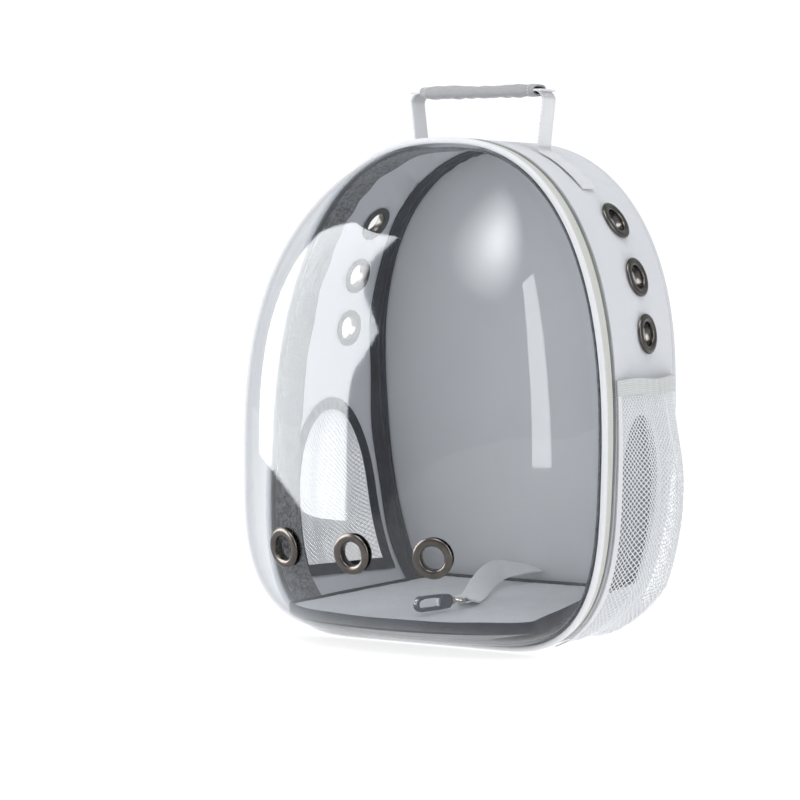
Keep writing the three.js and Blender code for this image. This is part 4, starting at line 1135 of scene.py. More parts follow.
def window_place(side):
    def place(a, b, lift):
        rise = b
        height = WINDOW["low"] + (WINDOW["high"] - WINDOW["low"]) * rise
        depth = WINDOW["depth"] + (window_half(rise, 3 * MM)) * (2 * a - 1)
        sag = -1.2 * MM * np.sin(math.pi * a) * np.sin(math.pi * b)
        return wall(on_side(side, share_at_height(height, depth)), depth, NET_OUT + sag + lift)
    return place


def edge_line(t, grow):
    """The window's edge once round: up one side, over the crown, down the other, along the sill."""
    up, down = np.clip(t / 0.4, 0, 1), np.clip((t - 0.4) / 0.4, 0, 1)
    rise = np.where(t < 0.4, np.sin(up * math.pi / 2), np.cos(down * math.pi / 2))
    half = window_half(rise, grow)
    sill = np.clip((t - 0.8) / 0.2, 0, 1)
    across = np.where(t < 0.4, half, -half)
    across = np.where(t > 0.8, window_half(0.0, grow) * (2 * sill - 1), across)
    height = WINDOW["low"] - grow + (WINDOW["high"] - WINDOW["low"] + 2 * grow) * rise
    height = np.where(t > 0.8, WINDOW["low"] - grow, height)
    return WINDOW["depth"] + across, height


def window_edge(side):
    def place(u, v):
        grow = 4.5 * MM - 9.5 * MM * v
        depth, height = edge_line(u, grow)
        gathers = 0.5 * np.sin(u * 120 + 3 * np.sin(u * 37)) + 0.3 * np.sin(u * 260)
        fold = np.sin(math.pi * v) * (1.3 + gathers)
        return wall(on_side(side, share_at_height(height, depth)), depth, BINDING_OUT - fold * MM * 0.8)
    return place


for word, side in (("left", -1), ("right", 1)):
    window_net = net(f"window_net_{word}", window_place(side), 0.106, 0.147, 2.4 * MM, 0.2 * MM)
    finish(window_net, window_thread, "net", f"window_mesh_{word}", angle=60)
    edge = bent_grid(f"window_velour_{word}", 260, 8, window_edge(side), size=(0.45, 0.01), joined=True,
                     outwards=(0, 0.04, 0.2))
    thicken(edge, 1.2 * MM)
    finish(edge, velour, "charcoal", f"window_binding_{word}")

# %% [markdown]
# ## Side pockets
# A pocket is a coarse net, gathered at the floor and held by an elastic band at its mouth. It
# bellies out from the wall and hangs in long soft folds, which the eye reads where the strands
# crowd together. The net gets those folds as hills across its surface.

# %% Pocket surface
POCKET = dict(low=0.009, high=0.212, band=0.012, bulge=0.026, rear=0.975)
POCKET_SEAT = 0.8 * MM
POCKET_FRONT = (BODY_FRONT + 1.5 * MM) / SPAN
# Folds of the net: where across the pocket at its foot and at its mouth, width and lift.
POCKET_FOLDS = [
    dict(foot=0.16, mouth=0.30, width=0.045, lift=2.6 * MM),
    dict(foot=0.34, mouth=0.46, width=0.040, lift=-2.4 * MM),
    dict(foot=0.47, mouth=0.60, width=0.050, lift=3.4 * MM),
    dict(foot=0.66, mouth=0.70, width=0.045, lift=-2.6 * MM),
    dict(foot=0.80, mouth=0.84, width=0.050, lift=2.6 * MM),
]


def smooth_step(x, start, end):
    t = np.clip((x - start) / (end - start), 0, 1)
    return t * t * (3 - 2 * t)


POCKET_SHARES = [float(share_at_height(POCKET[key], 0.5)) for key in ("low", "high")]
POCKET_TALL = (POCKET_SHARES[1] - POCKET_SHARES[0]) * RIM["length"] / 2


def pocket_out(across, rise):
    belly = np.clip(np.sin(math.pi * np.clip(across, 0, 1) ** 1.35), 0, 1) ** 0.7
    lift = np.clip(rise / 0.22, 0, 1) ** 0.6 * (1 - 0.25 * np.clip(rise - 0.5, 0, 1) / 0.5)
    tight = 1 - 0.5 * smooth_step(rise, 0.62, 1.0)
    return POCKET_SEAT + POCKET["bulge"] * belly * lift * tight


def pocket_spot(side, across, climb, extra=0.0, folds=True):
    """A point of the pocket: across it from 0 to 1, and climbing from 0 at its foot."""
    depth = POCKET_FRONT + (POCKET["rear"] - POCKET_FRONT) * across
    share = POCKET_SHARES[0] + (POCKET_SHARES[1] - POCKET_SHARES[0]) * climb
    height = wall_bare(share, np.full_like(share, 0.5))[..., 2]
    level = share_at_height(height, depth)
    share = share * (1 - smooth_step(climb, 0.3, 0.75)) + level * smooth_step(climb, 0.3, 0.75)
    height = wall_bare(share, depth)[..., 2]
    rise = np.clip((height - POCKET["low"]) / (POCKET["high"] - POCKET["low"]), 0, 1.2)
    out = pocket_out(across, rise)
    if folds:
        hang = np.sin(math.pi * np.clip(climb * 0.96 + 0.04, 0, 1)) ** 0.7
        for fold in POCKET_FOLDS:
            middle = fold["foot"] + (fold["mouth"] - fold["foot"]) * climb
            out = out + fold["lift"] * bump_hill(across, middle, fold["width"]) * hang
        out = np.maximum(out, 1.0 * MM)
    return wall(on_side(side, share), depth, out + extra)


# %% Pocket nets, bands and hems
POCKET_WIDE = (POCKET["rear"] - POCKET_FRONT) * SPAN
for word, side in (("left", -1), ("right", 1)):
    pocket_net = net(f"pocket_strands_{word}", lambda a, b, lift: pocket_spot(side, a, b, lift + 0.6 * MM),
                     POCKET_WIDE, POCKET_TALL, 4.6 * MM, 0.42 * MM, weave=0.2 * MM)
    finish(pocket_net, net_thread, "net", f"pocket_net_{word}", angle=60)

    def band_place(u, v):
        height = POCKET["high"] - 1 * MM + (POCKET["band"] + 1.3 * MM) * v
        depth = POCKET_FRONT + (POCKET["rear"] - POCKET_FRONT) * u
        share = share_at_height(height + 1.2 * MM * np.sin(math.pi * u) * np.sin(u * 9), depth)
        out = pocket_out(u, np.ones_like(u)) + 0.35 * MM * np.sin(u * 70) * np.sin(math.pi * u)
        return wall(on_side(side, share), depth, out)

    band = bent_grid(f"pocket_elastic_{word}", 90, 8, band_place, size=(0.15, 0.012), outwards=(0, 0.04, 0.2))
    thicken(band, 1.7 * MM, offset=1.0)
    apply(band, "BEVEL", width=0.4 * MM, segments=2, limit_method="ANGLE")
    finish(band, elastic, "tape", f"pocket_band_{word}")

    seam_u = np.linspace(0.02, 0.98, 90)
    band_lines = []
    for level in (2.2 * MM, POCKET["band"] - 2.2 * MM):
        depth = POCKET_FRONT + (POCKET["rear"] - POCKET_FRONT) * seam_u
        sway = 1.2 * MM * np.sin(math.pi * seam_u) * np.sin(seam_u * 9)
        share = on_side(side, share_at_height(POCKET["high"] + level + sway, depth))
        out = pocket_out(seam_u, np.ones_like(seam_u)) + 1.75 * MM
        band_lines.append((wall(share, depth, out), wall_normal(share, depth), 3 * MM))
    sew(f"pocket_stitches_{word}", band_lines, thread, "tape")

# %% [markdown]
# A narrow hem holds the net down along the front seam.

# %% Pocket hems
for word, side in (("left", -1), ("right", 1)):
    def front_hem(u, v):
        across = 0.035 * v
        return pocket_spot(side, across, u, 0.9 * MM, folds=False)

    hem = bent_grid(f"pocket_hem_{word}", 90, 3, front_hem, size=(0.22, 0.005), outwards=(0, 0.04, 0.2))
    thicken(hem, 0.7 * MM, offset=1.0)
    finish(hem, lining_cloth, "net")

# %% [markdown]
# ## The back
# The back is a foam board in grey cloth. Its inner face is smooth and slightly full. Its outer
# face is quilted into pads with sewn channels between them, so that air can pass behind the
# wearer. One closed grid runs from the middle of the inner face over the edge to the middle of
# the outer face.

# %% Back panel
PANEL = dict(edge=5 * MM, pad=10 * MM)
PANEL_POLE = REAR["height"] / 2


def rear_y(height):
    return SHIFT + REAR["behind"] + REAR["lean"] * height / REAR["height"]


def quilting(x, z):
    """How deep the sewn channels press the pad, as a share of its height."""
    side = bump_hill(np.abs(x), 0.040 + 0.010 * np.sin(z * 9), 3.5 * MM)
    level = sum(bump_hill(z, at - 0.05 * np.abs(x), 3.0 * MM) for at in (0.115, 0.215, 0.315))
    return np.clip(side + level, 0, 1)


def panel_place(u, v):
    key = [0, 0.40, 0.46, 0.50, 0.56, 1.0]
    reach = np.interp(v, key, [0, 0.975, 0.999, 1.0, 0.955, 0])
    thick = np.interp(v, key, [0, 0, 0.7 * MM, PANEL["edge"], PANEL["pad"] - 1 * MM, PANEL["pad"]])
    edge = outline(REAR, u * 2)
    x, z = edge[:, 0] * reach, PANEL_POLE + (edge[:, 2] - PANEL_POLE) * reach
    full = np.sin(math.pi * np.clip(1 - reach, 0, 0.5))
    inner = (v < 0.46) * -1.6 * MM * full * (0.8 + 0.2 * np.sin(z * 21 + 1))
    outer = (v > 0.56) * (1.6 * MM * full * 0.4 - 5.0 * MM * quilting(x, z) * np.clip((1 - reach) * 14, 0, 1))
    return np.stack([x, rear_y(z) + thick + inner + outer, z], axis=-1)


panel = closed_tidy(bent_grid("back_board", 240, 110, panel_place, size=(0.5, 0.5), joined=True))
finish(panel, panel_cloth, "grey_panel", "back_panel", angle=60)
pad_face = [p.normal.y > 0.2 for p in panel.data.polygons]
panel.data.materials.append(pad_cloth)
panel.data.polygons.foreach_set("material_index", np.array(pad_face, dtype=np.int32))


def panel_rear(height):
    return rear_y(height) + PANEL["pad"]


# %% [markdown]
# ## Handle
# One length of webbing is sewn down the arch on both sides, turns up, and passes through a
# padded sleeve that has been creased by many hands. The webbing is a ribbon along one route. The
# sleeve is an open tube, flattened, with its seam underneath.

# %% Webbing along a route
def ribbon(name, points, across, width, thick, columns=160, rows=8, cup=0.0):
    """A strap: its middle line, the direction across it at each point, and its width."""
    forward = np.gradient(points, axis=0)
    facing = unit(np.cross(across, forward))

    def place(u, v):
        at = u * (len(points) - 1)
        pull = lambda table: np.stack([np.interp(at, range(len(table)), table[:, i]) for i in range(3)], -1)
        wide = np.interp(at, range(len(points)), np.broadcast_to(width, len(points)))
        shape = (pull(points) + unit(pull(across)) * ((v - 0.5) * wide)[:, None])
        return shape + unit(pull(facing)) * (cup * np.cos((v - 0.5) * math.pi))[:, None]

    length = np.linalg.norm(np.diff(points, axis=0), axis=1).sum()
    strap = bent_grid(name, columns, rows, place, size=(length, float(np.max(width))))
    thicken(strap, thick, offset=0.0)
    return apply(strap, "BEVEL", width=thick * 0.28, segments=2, limit_method="ANGLE")


# %% Handle webbing
WEBBING = dict(width=20 * MM, thick=1.6 * MM)
HANDLE = dict(depth=0.54, foot_half=0.063, top_half=0.066, rise=0.464, sewn_to=0.380, corner=0.009)
handle_across = unit(wall_bare(1.0, HANDLE["depth"] + 0.1) - wall_bare(1.0, HANDLE["depth"] - 0.1))
handle_seat = 0.8 * MM + WEBBING["thick"] / 2
top_shares = np.linspace(0.5, 1, 2000)
foot_share = np.interp(-HANDLE["foot_half"],
                       -wall_bare(top_shares, np.full(2000, HANDLE["depth"]))[:, 0], top_shares)
foot_height = wall_bare(foot_share, HANDLE["depth"])[2]
centre_y = wall_bare(1.0, HANDLE["depth"])[1]
sewn = wall(share_at_height(np.linspace(HANDLE["sewn_to"], foot_height, 8), HANDLE["depth"]),
            np.full(8, HANDLE["depth"]), handle_seat)
foot = sewn[-1]
bend = 2.2 * MM
leg = [(foot[0] - bend, foot[1] + (centre_y - foot[1]) * 0.1, foot[2] + bend * 1.6),
       (foot[0] - bend * 0.9, foot[1] + (centre_y - foot[1]) * 0.2, foot[2] + bend * 3.2),
       (HANDLE["foot_half"] + 0.3 * (HANDLE["top_half"] - HANDLE["foot_half"]),
        foot[1] + (centre_y - foot[1]) * 0.6, (foot[2] + HANDLE["rise"]) / 2)]
corner_turn = np.linspace(0, math.pi / 2, 6)
top = np.stack([HANDLE["top_half"] - HANDLE["corner"] * (1 - np.cos(corner_turn)),
                np.full(6, centre_y),
                HANDLE["rise"] - HANDLE["corner"] * (1 - np.sin(corner_turn))], axis=-1)
half_route = np.vstack([sewn, leg, top])
route = smoothed(np.vstack([half_route, half_route[::-1] * [-1, 1, 1]]), 220)
handle = ribbon("handle_strap", route, np.tile(handle_across, (220, 1)), WEBBING["width"],
                WEBBING["thick"], columns=300, rows=10)
finish(handle, webbing_cloth, "webbing", "handle_webbing", angle=50)

# %% Box stitches at the handle's feet
lines = []
for mirror in (1, -1):
    for offset in (-8 * MM, 8 * MM):
        line = smoothed(sewn[:-1], 40) + handle_across * offset
        facing = wall_normal(share_at_height(line[:, 2].clip(max=0.419), HANDLE["depth"]),
                             np.full(40, HANDLE["depth"]))
        lines.append(((line + facing * 0.85 * MM) * [mirror, 1, 1], facing * [mirror, 1, 1], 2.6 * MM))
    for end in (1, 5):
        cross = sewn[end] + np.linspace(-8 * MM, 8 * MM, 12)[:, None] * handle_across
        share = share_at_height(sewn[end][2], HANDLE["depth"])
        facing = np.tile(wall_normal(share, HANDLE["depth"]), (12, 1))
        lines.append(((cross + facing * 0.85 * MM) * [mirror, 1, 1], facing * [mirror, 1, 1], 2.6 * MM))
sew("handle_stitches", lines, thread, "webbing")

# %% Grip sleeve
GRIP = dict(length=0.114, width=0.025, thick=0.012)


def oval(turn, half_wide, half_thick, square=0.6):
    bend_in = lambda value: np.sign(value) * np.abs(value) ** square
    return half_wide * bend_in(np.cos(turn)), half_thick * bend_in(np.sin(turn))


def grip_place(u, v):
    x = (u - 0.5) * GRIP["length"]
    turn = v * TURN
    end = np.clip((np.abs(x) - 0.43 * GRIP["length"]) / (0.07 * GRIP["length"]), 0, 1)
    wide = GRIP["width"] / 2 * (1 - 0.10 * end) - 0.5 * MM
    thick = GRIP["thick"] / 2 * (1 - 0.12 * end) - 0.8 * MM
    crease = (0.55 * np.sin(x * 310 + 2 * np.cos(turn)) * np.sin(x * 83 + 1)
              + 0.45 * np.sin(x * 520 + 3 * turn)) * MM * (0.35 + 0.65 * np.abs(np.sin(turn)))
    y, z = oval(turn, wide + 0.3 * crease, thick + 0.7 * crease)
    dip = -0.9 * MM * bump_hill(x, 0.006, 0.018) + 0.6 * MM * bump_hill(x, -0.032, 0.012)
    return np.stack([x, centre_y + y, HANDLE["rise"] + z + dip * np.sin(turn).clip(0, 1)], axis=-1)


grip = closed_tidy(bent_grid("grip_sleeve", 130, 44, grip_place, size=(0.114, 0.065), joined=True))
face_away(grip, (0, centre_y, HANDLE["rise"]))
thicken(grip, 1.3 * MM)
finish(grip, grip_cloth, "grip", "handle_grip", angle=60)
sleeve_lines = []
for end in (-1, 1):
    turn = np.linspace(0, TURN, 60)
    ring = grip_place(np.full(60, 0.5 + end * 0.455), turn / TURN)
    outward = unit(ring - np.array([ring[0][0], centre_y, HANDLE["rise"]]))
    sleeve_lines.append((ring + outward * 0.15 * MM, outward, 2.8 * MM))
sew("grip_stitches", sleeve_lines, thread, "grip")

# %% [markdown]
# ## Floor cushion
# On the floor lies a board in dark cloth, on it a pad of short white plush, and round the pad
# stands a soft dark edge. All three share one D-shaped outline, which follows the dome in front
# and stops short of the back. They are stacks of that outline at several heights.

# %% The cushion's outline
CUSHION = dict(board_top=22 * MM, top=31 * MM, front_gap=5 * MM, side_gap=5 * MM, rear_gap=7 * MM,
               tuck=16 * MM)
EDGE = dict(thick=3.2 * MM, lift=1.5 * MM, rear_lift=2 * MM)
FLOOR_OUT = FACING_OUT - FACING_THICK
BOARD_LOW = -FLOOR_OUT + GAP


def inside_half(height, back):
    """Half the width between the linings at a height, some way behind the rim."""
    low, high = 0.0, 0.9
    for _ in range(40):
        middle = (low + high) / 2
        if wall_back(np.array(middle), back, FLOOR_OUT)[2] < height:
            low = middle
        else:
            high = middle
    return wall_back(np.array(low), back, FLOOR_OUT)[0]


def cushion_outline(height, inset, steps=72, rear_steps=24):
    """A closed outline: round the dome from right to left, then back along the rear."""
    front_x = inside_half(height, 6 * MM) - CUSHION["side_gap"] - inset
    points = []
    for turn in np.linspace(0, math.pi, steps):
        x = front_x * math.cos(turn)
        y = bubble_over(x, height)[0][1] + SHELL_WALL + CUSHION["front_gap"] + inset
        points.append((x, min(y, SHIFT + 6 * MM)))
    rear_line = rear_y(height) - CUSHION["rear_gap"] - inset
    rear_x = inside_half(height, rear_line - SHIFT) - CUSHION["side_gap"] - inset
    points += [(step * rear_x, rear_line) for step in np.linspace(-1, 1, rear_steps)]
    return np.array(points)


def evened(points, count=240, soften=6):
    """The same outline with evenly spaced points and softened corners."""
    closed = np.vstack([points, points[:1]])
    run = np.concatenate([[0], np.cumsum(np.linalg.norm(np.diff(closed, axis=0), axis=1))])
    at = np.arange(count) * run[-1] / count
    even_points = np.stack([np.interp(at, run, closed[:, i]) for i in (0, 1)], axis=-1)
    for _ in range(soften):
        even_points = (np.roll(even_points, 1, 0) + 2 * even_points + np.roll(even_points, -1, 0)) / 4
    return even_points


def stacked(name, loops, size=(0.8, 0.3)):
    """A grid whose rows are the given closed loops of points."""
    count, levels = len(loops[0]), len(loops) - 1
    table = np.array(loops)

    def place(u, v):
        return table[np.rint(v * levels).astype(int), np.rint(u * count).astype(int) % count]

    return closed_tidy(bent_grid(name, count, levels, place, size=size, joined=True))


def level(points, z):
    return np.hstack([points, np.broadcast_to(z, (len(points), 1))])


def shrunk(points, share):
    middle = points.mean(axis=0)
    return middle + (points - middle) * share


# %% Lie of the cushion
def settle(piece):
    """The cushion dips a little in front and climbs towards the back, with its foot left flat."""
    points = points_of(piece)
    behind_hook = np.clip(points[:, 1] - SHIFT - 4 * MM, -110 * MM, 170 * MM)
    points[:, 2] += behind_hook * 0.05 * np.clip(points[:, 2] / CUSHION["board_top"], 0, 1) ** 1.5
    move_points(piece, points)


# %% Board, plush and standing edge
at_top = evened(cushion_outline(CUSHION["board_top"], 0.0))
low_tuck = evened(cushion_outline(BOARD_LOW, CUSHION["tuck"]))
mix = lambda t: low_tuck * (1 - t) + at_top * t
rows = [level(shrunk(low_tuck, s), BOARD_LOW) for s in (0.0, 0.5, 0.97)]
rows += [level(mix(t), BOARD_LOW + (CUSHION["board_top"] - BOARD_LOW) * t) for t in (0.06, 0.3, 0.6, 0.9)]
rows += [level(shrunk(at_top, s), CUSHION["board_top"]) for s in (0.995, 0.5, 0.0)]
board = stacked("floor_pad_board", rows)
settle(board)
finish(board, board_cloth, "charcoal", "floor_board")

plush_edge = evened(cushion_outline(CUSHION["board_top"], EDGE["thick"] + GAP), count=360)
plush_low = CUSHION["board_top"] + GAP
plush_rise = CUSHION["top"] - plush_low
rows = [level(shrunk(plush_edge, s), plush_low) for s in (0.0, 0.6, 0.985)]
rows += [level(plush_edge - (plush_edge - plush_edge.mean(0)) * 0.012 * (1 - math.cos(t)),
               plush_low + plush_rise * (0.25 + 0.72 * math.sin(t))) for t in np.linspace(0, 1.25, 6)]
rows += [level(shrunk(plush_edge, s), CUSHION["top"] - 0.35 * MM) for s in np.linspace(0.96, 0.0, 80)]
plush = stacked("plush_pad", rows)
tips = points_of(plush)
on_top = smooth_step(tips[:, 2], plush_low + plush_rise * 0.5, CUSHION["top"] - 0.5 * MM)
across, back = tips[:, 0], tips[:, 1]
tufts = np.sin(across * 1900 + 2 * np.sin(back * 700)) * np.sin(back * 1750 + 2 * np.sin(across * 620))
tufts += 0.8 * np.sin(across * 190) * np.sin(back * 160 + 1)
tips[:, 2] += on_top * (tufts * 0.22 - 0.25) * MM
move_points(plush, tips)
settle(plush)
finish(plush, plush_pile, "plush", "floor_plush", angle=70)


def edge_height(points):
    forward = np.clip(1 - (points[:, 1:2] - SHIFT) / REAR["behind"], 0, 1)
    lift = EDGE["rear_lift"] + (EDGE["lift"] - EDGE["rear_lift"]) * forward
    wave = 0.35 * MM * np.sin(points[:, :1] * 90) * np.cos(points[:, 1:2] * 70)
    return CUSHION["top"] + lift + wave - 0.5 * MM


outer = evened(cushion_outline(CUSHION["board_top"], 0.0), count=360)
inner = evened(cushion_outline(CUSHION["board_top"], EDGE["thick"]), count=360)
section = [(0.0, 0.0), (0.0, 0.35), (0.0, 0.7), (0.02, 0.88), (0.15, 0.97), (0.4, 1.0), (0.65, 1.0),
           (0.88, 0.96), (1.0, 0.86), (1.0, 0.6), (1.0, 0.3), (1.0, 0.0), (0.5, 0.0), (0.0, 0.0)]
rows = [np.hstack([outer * (1 - across) + inner * across,
                   plush_low + (edge_height(outer) - plush_low) * rise]) for across, rise in section]
standing_edge = stacked("cushion_standing_edge", rows, size=(0.9, 0.03))
settle(standing_edge)
finish(standing_edge, velour, "charcoal", "cushion_edge", angle=60)

# %% [markdown]
# ## Safety leash
# A strap of twilled webbing comes out of the foot of the back, rises, rolls half over and lies
# down on the plush, where it folds round a small metal eye. Its route is the CAD's, raised a
# little where the plush climbs. A snap hook turns on the eye's pin: a flat cast body with
# rounded edges and a spring gate.

# %% Leash webbing
CLIP = dict(heading=math.radians(11), length=42 * MM, width=13 * MM, thick=5 * MM, base=15 * MM,
            wire=3.2 * MM, gate=2.4 * MM, pin=1.9 * MM, pin_depth=6 * MM)
RING, RING_WIRE = 5.6 * MM, 1.3 * MM
clip_height = CUSHION["top"] + math.hypot(CLIP["width"], CLIP["thick"]) / 2 + 0.8 * MM
clip_axis = np.array([-math.sin(CLIP["heading"]), -math.cos(CLIP["heading"]), 0])
clip_start = np.array([26 * MM, 4 * MM + SHIFT, clip_height])
ring_far = clip_start - 2 * RING * clip_axis
# Route of the strap: place, rise over the plush, roll in degrees and share of the full width.
LEASH_ROUTE = [
    (ring_far[0] / MM - 1, (ring_far[1] - SHIFT) / MM + 10, 4.6, 4, 0.8),
    (20, 38, 2.2, 5, 1), (14, 56, 3.6, 12, 1), (6, 80, 8.4, 32, 1), (0, 104, 13, 46, 1),
    (-2, 126, 15, 44, 1), (3, 146, 13.5, 24, 1),
    (10, (rear_y(CUSHION["top"]) - SHIFT) / MM - 3, 11, 10, 1),
]
turn_round = np.linspace(0.15, 1.0, 6) * math.pi
loop_out = RING_WIRE + 1.1 * MM
around_ring = [ring_far + clip_axis * loop_out * math.sin(t) + [0, 0, loop_out * math.cos(t)]
               for t in turn_round]
under_run = [ring_far - clip_axis * d - [0, 0, 2.1 * MM] for d in (5 * MM, 11 * MM)]
path_rows = [[*p, 0, 0.55] for p in reversed(around_ring + under_run)]
path_rows += [[x * MM, y * MM + SHIFT, CUSHION["top"] + rise * MM, roll, wide]
              for x, y, rise, roll, wide in LEASH_ROUTE]
leash_line = smoothed(path_rows, 260)
leash_points = leash_line[:, :3]
leash_points[:, 2] += np.clip(leash_points[:, 1] - SHIFT - 12 * MM, 0, 170 * MM) * 0.05
leash_forward = unit(np.gradient(leash_points, axis=0))
flat_side = unit(np.cross(leash_forward * [1, 1, 0] + clip_axis * -1e-6, [0, 0, 1.0]))
on_loop = np.arange(260) < 260 * 7.5 / (len(path_rows) - 1)
flat_side[on_loop] = np.cross(-clip_axis, [0, 0, 1.0])
rolled = []
for side, ahead, roll in zip(flat_side, leash_forward, leash_line[:, 3]):
    rolled.append(Quaternion(Vector(ahead), math.radians(roll)) @ Vector(side))
leash = ribbon("leash_webbing", leash_points, np.array(rolled), 20 * MM * leash_line[:, 4], 1.4 * MM,
               columns=300, rows=10, cup=0.5 * MM)
finish(leash, webbing_cloth, "webbing", "leash_strap", angle=50)
print("leash", round(float(np.linalg.norm(np.diff(leash_points, axis=0), axis=1).sum()), 3), "m long")

# %% Eye of the leash
to_clip = Vector((0, 0, 1)).rotation_difference(Vector(clip_axis)).to_euler()


def clip_rod(radius, start, end, bevel=0.3 * MM):
    deselect()
    bpy.ops.mesh.primitive_cylinder_add(vertices=40, radius=radius, depth=end - start,
                                        location=clip_start + clip_axis * (start + end) / 2, rotation=to_clip)
    rod = bpy.context.object
    bpy.ops.object.transform_apply(location=True, rotation=True, scale=True)
    return apply(rod, "BEVEL", width=bevel, segments=2, limit_method="ANGLE")


COLLAR = 1.6 * MM
HOOK_FROM = RING_WIRE + COLLAR + GAP
deselect()
bpy.ops.mesh.primitive_torus_add(major_radius=RING, minor_radius=RING_WIRE, major_segments=56,
                                 minor_segments=16, location=clip_start - clip_axis * RING)
eye_ring = bpy.context.object
bpy.ops.object.transform_apply(location=True, rotation=True, scale=True)
eye_piece = joined("leash_eye_ring", eye_ring, clip_rod(3.4 * MM, 0.0, RING_WIRE + COLLAR),
                   clip_rod(CLIP["pin"], 0.5 * MM, HOOK_FROM + CLIP["pin_depth"], 0.2 * MM))
finish(eye_piece, steel, "steel", "leash_eye", angle=35)

# %% Hook and gate
clip_side = np.cross(clip_axis, [0, 0, 1.0])


def cast_plate(name, outline_points, thick, bevel):
    """A flat casting: an outline along the clip's axis and up, given its thickness and soft edges."""
    corners = [clip_start + clip_axis * a + np.array([0, 0, b]) - clip_side * thick / 2
               for a, b in outline_points]
    mesh = bpy.data.meshes.new(name)
    mesh.from_pydata([tuple(c) for c in corners], [], [tuple(range(len(corners)))])
    plate = bpy.data.objects.new(name, mesh)
    bpy.context.scene.collection.objects.link(plate)
    edit_all(plate, (bpy.ops.mesh.extrude_region_move, dict(
        TRANSFORM_OT_translate=dict(value=tuple(clip_side * thick)))))
    closed_tidy(plate)
    return apply(plate, "BEVEL", width=bevel, segments=3, limit_method="ANGLE", angle_limit=math.radians(50))


def arc(centre, radius, start, end, count=14):
    return [(centre[0] + radius * math.cos(t), centre[1] + radius * math.sin(t))
            for t in np.linspace(start, end, count)]


half = CLIP["width"] / 2
hook_tip, nose = HOOK_FROM + CLIP["length"], CLIP["width"] / 2
mouth_from, mouth_to = HOOK_FROM + CLIP["base"], HOOK_FROM + CLIP["length"] - CLIP["wire"]
inner = half - CLIP["wire"]
hook_outline = [
    (HOOK_FROM, -half * 0.55), (HOOK_FROM + 1.2 * MM, -half * 0.78), (HOOK_FROM + 3 * MM, -half * 0.9),
    (mouth_from, -half), *arc((hook_tip - nose, 0), half, -math.pi / 2, math.pi / 2, 20),
    (hook_tip - nose - 2 * MM, half), (hook_tip - nose - 2 * MM, inner),
    *arc((mouth_to - inner, 0), inner, math.pi / 2, -math.pi / 2, 14),
    (mouth_from, -inner), (mouth_from, half - CLIP["gate"] - GAP),
    (mouth_from - 1.5 * MM, half - CLIP["gate"] - GAP), (mouth_from - 1.5 * MM, half),
    (HOOK_FROM + 3 * MM, half * 0.9), (HOOK_FROM + 1.2 * MM, half * 0.78), (HOOK_FROM, half * 0.55)]
hook = cut(cast_plate("snap_hook", hook_outline, CLIP["thick"], 0.9 * MM),
           clip_rod(CLIP["pin"] + GAP, HOOK_FROM - 1 * MM, HOOK_FROM + CLIP["pin_depth"] + GAP))
finish(hook, slate, "slate", "leash_hook", body="hook", angle=40)
gate_from, gate_to = mouth_from - 1.5 * MM + GAP, hook_tip - nose - 2 * MM - GAP
heel = CLIP["gate"] / 3
gate_outline = [(gate_from, half - CLIP["gate"] + heel), (gate_from + heel, half - CLIP["gate"]),
                (gate_to, half - CLIP["gate"]), (gate_to, half), (gate_from, half)]
gate = cast_plate("snap_gate", gate_outline, CLIP["thick"] * 0.7, 0.45 * MM)
finish(gate, slate, "slate", "leash_gate", body="gate", angle=40)

# %% [markdown]
# ## Shoulder straps
# Two padded straps hang from a sewn yoke, swell at the shoulder and narrow towards a slide
# buckle, from which a webbing tail runs to the foot of the bag. Each pad is a grid rolled into a
# flattened tube along the CAD's sections, full in the middle and pinched at its sewn edges.

# %% Strap pads
STRAP = dict(thick=9 * MM, rise=26 * MM)
STRAP_WEB = dict(width=25 * MM, thick=1.8 * MM)
# Sections from the yoke down: how far out, height, place across and width.
STRAP_SECTIONS = [(0, 366, 38, 44), (0.45, 348, 40, 48), (0.85, 315, 48, 54), (1, 275, 60, 56),
                  (0.95, 235, 74, 56), (0.7, 198, 88, 50), (0.35, 168, 98, 40), (0.12, 148, 104, 32)]
TAIL_SECTIONS = [(122, 104), (90, 102), (55, 97), (34, 92)]
STRAP_SEAT = 0.8 * MM


def strap_line(side, rows, thick, count):
    table = smoothed(rows, count)
    height = table[:, 1] * MM
    points = np.stack([side * table[:, 2] * MM,
                       panel_rear(height) + STRAP_SEAT + thick / 2 + STRAP["rise"] * table[:, 0], height], -1)
    along = unit(np.gradient(points, axis=0))
    across = unit(np.stack([along[:, 2], 0 * height, -along[:, 0]], -1))
    return points, across, unit(np.cross(across, along)), table[:, 3] * MM


def strap_pad(name, side):
    points, across, facing, wide = strap_line(side, STRAP_SECTIONS, STRAP["thick"], 160)

    def place(u, v):
        at = u * 159
        pull = lambda table: np.stack([np.interp(at, range(160), table[:, i]) for i in range(3)], -1)
        turn = v * TURN
        close = np.clip(np.minimum(u, 1 - u) / 0.03, 0, 1) ** 0.5
        half_wide = np.interp(at, range(160), wide) / 2 * (0.86 + 0.14 * close) * np.minimum(1, close * 40)
        seam = np.exp(-((np.abs(np.cos(turn)) - 0.86) / 0.05) ** 2)
        half_thick = STRAP["thick"] / 2 * close * (1 - 0.45 * seam) * (0.93 + 0.07 * np.sin(u * 44))
        a, n = oval(turn, half_wide, half_thick, square=0.72)
        return pull(points) + unit(pull(across)) * a[:, None] + unit(pull(facing)) * n[:, None]

    pad = closed_tidy(bent_grid(name, 150, 40, place, size=(0.26, 0.12), joined=True))
    return pad, (points, across, facing, wide)


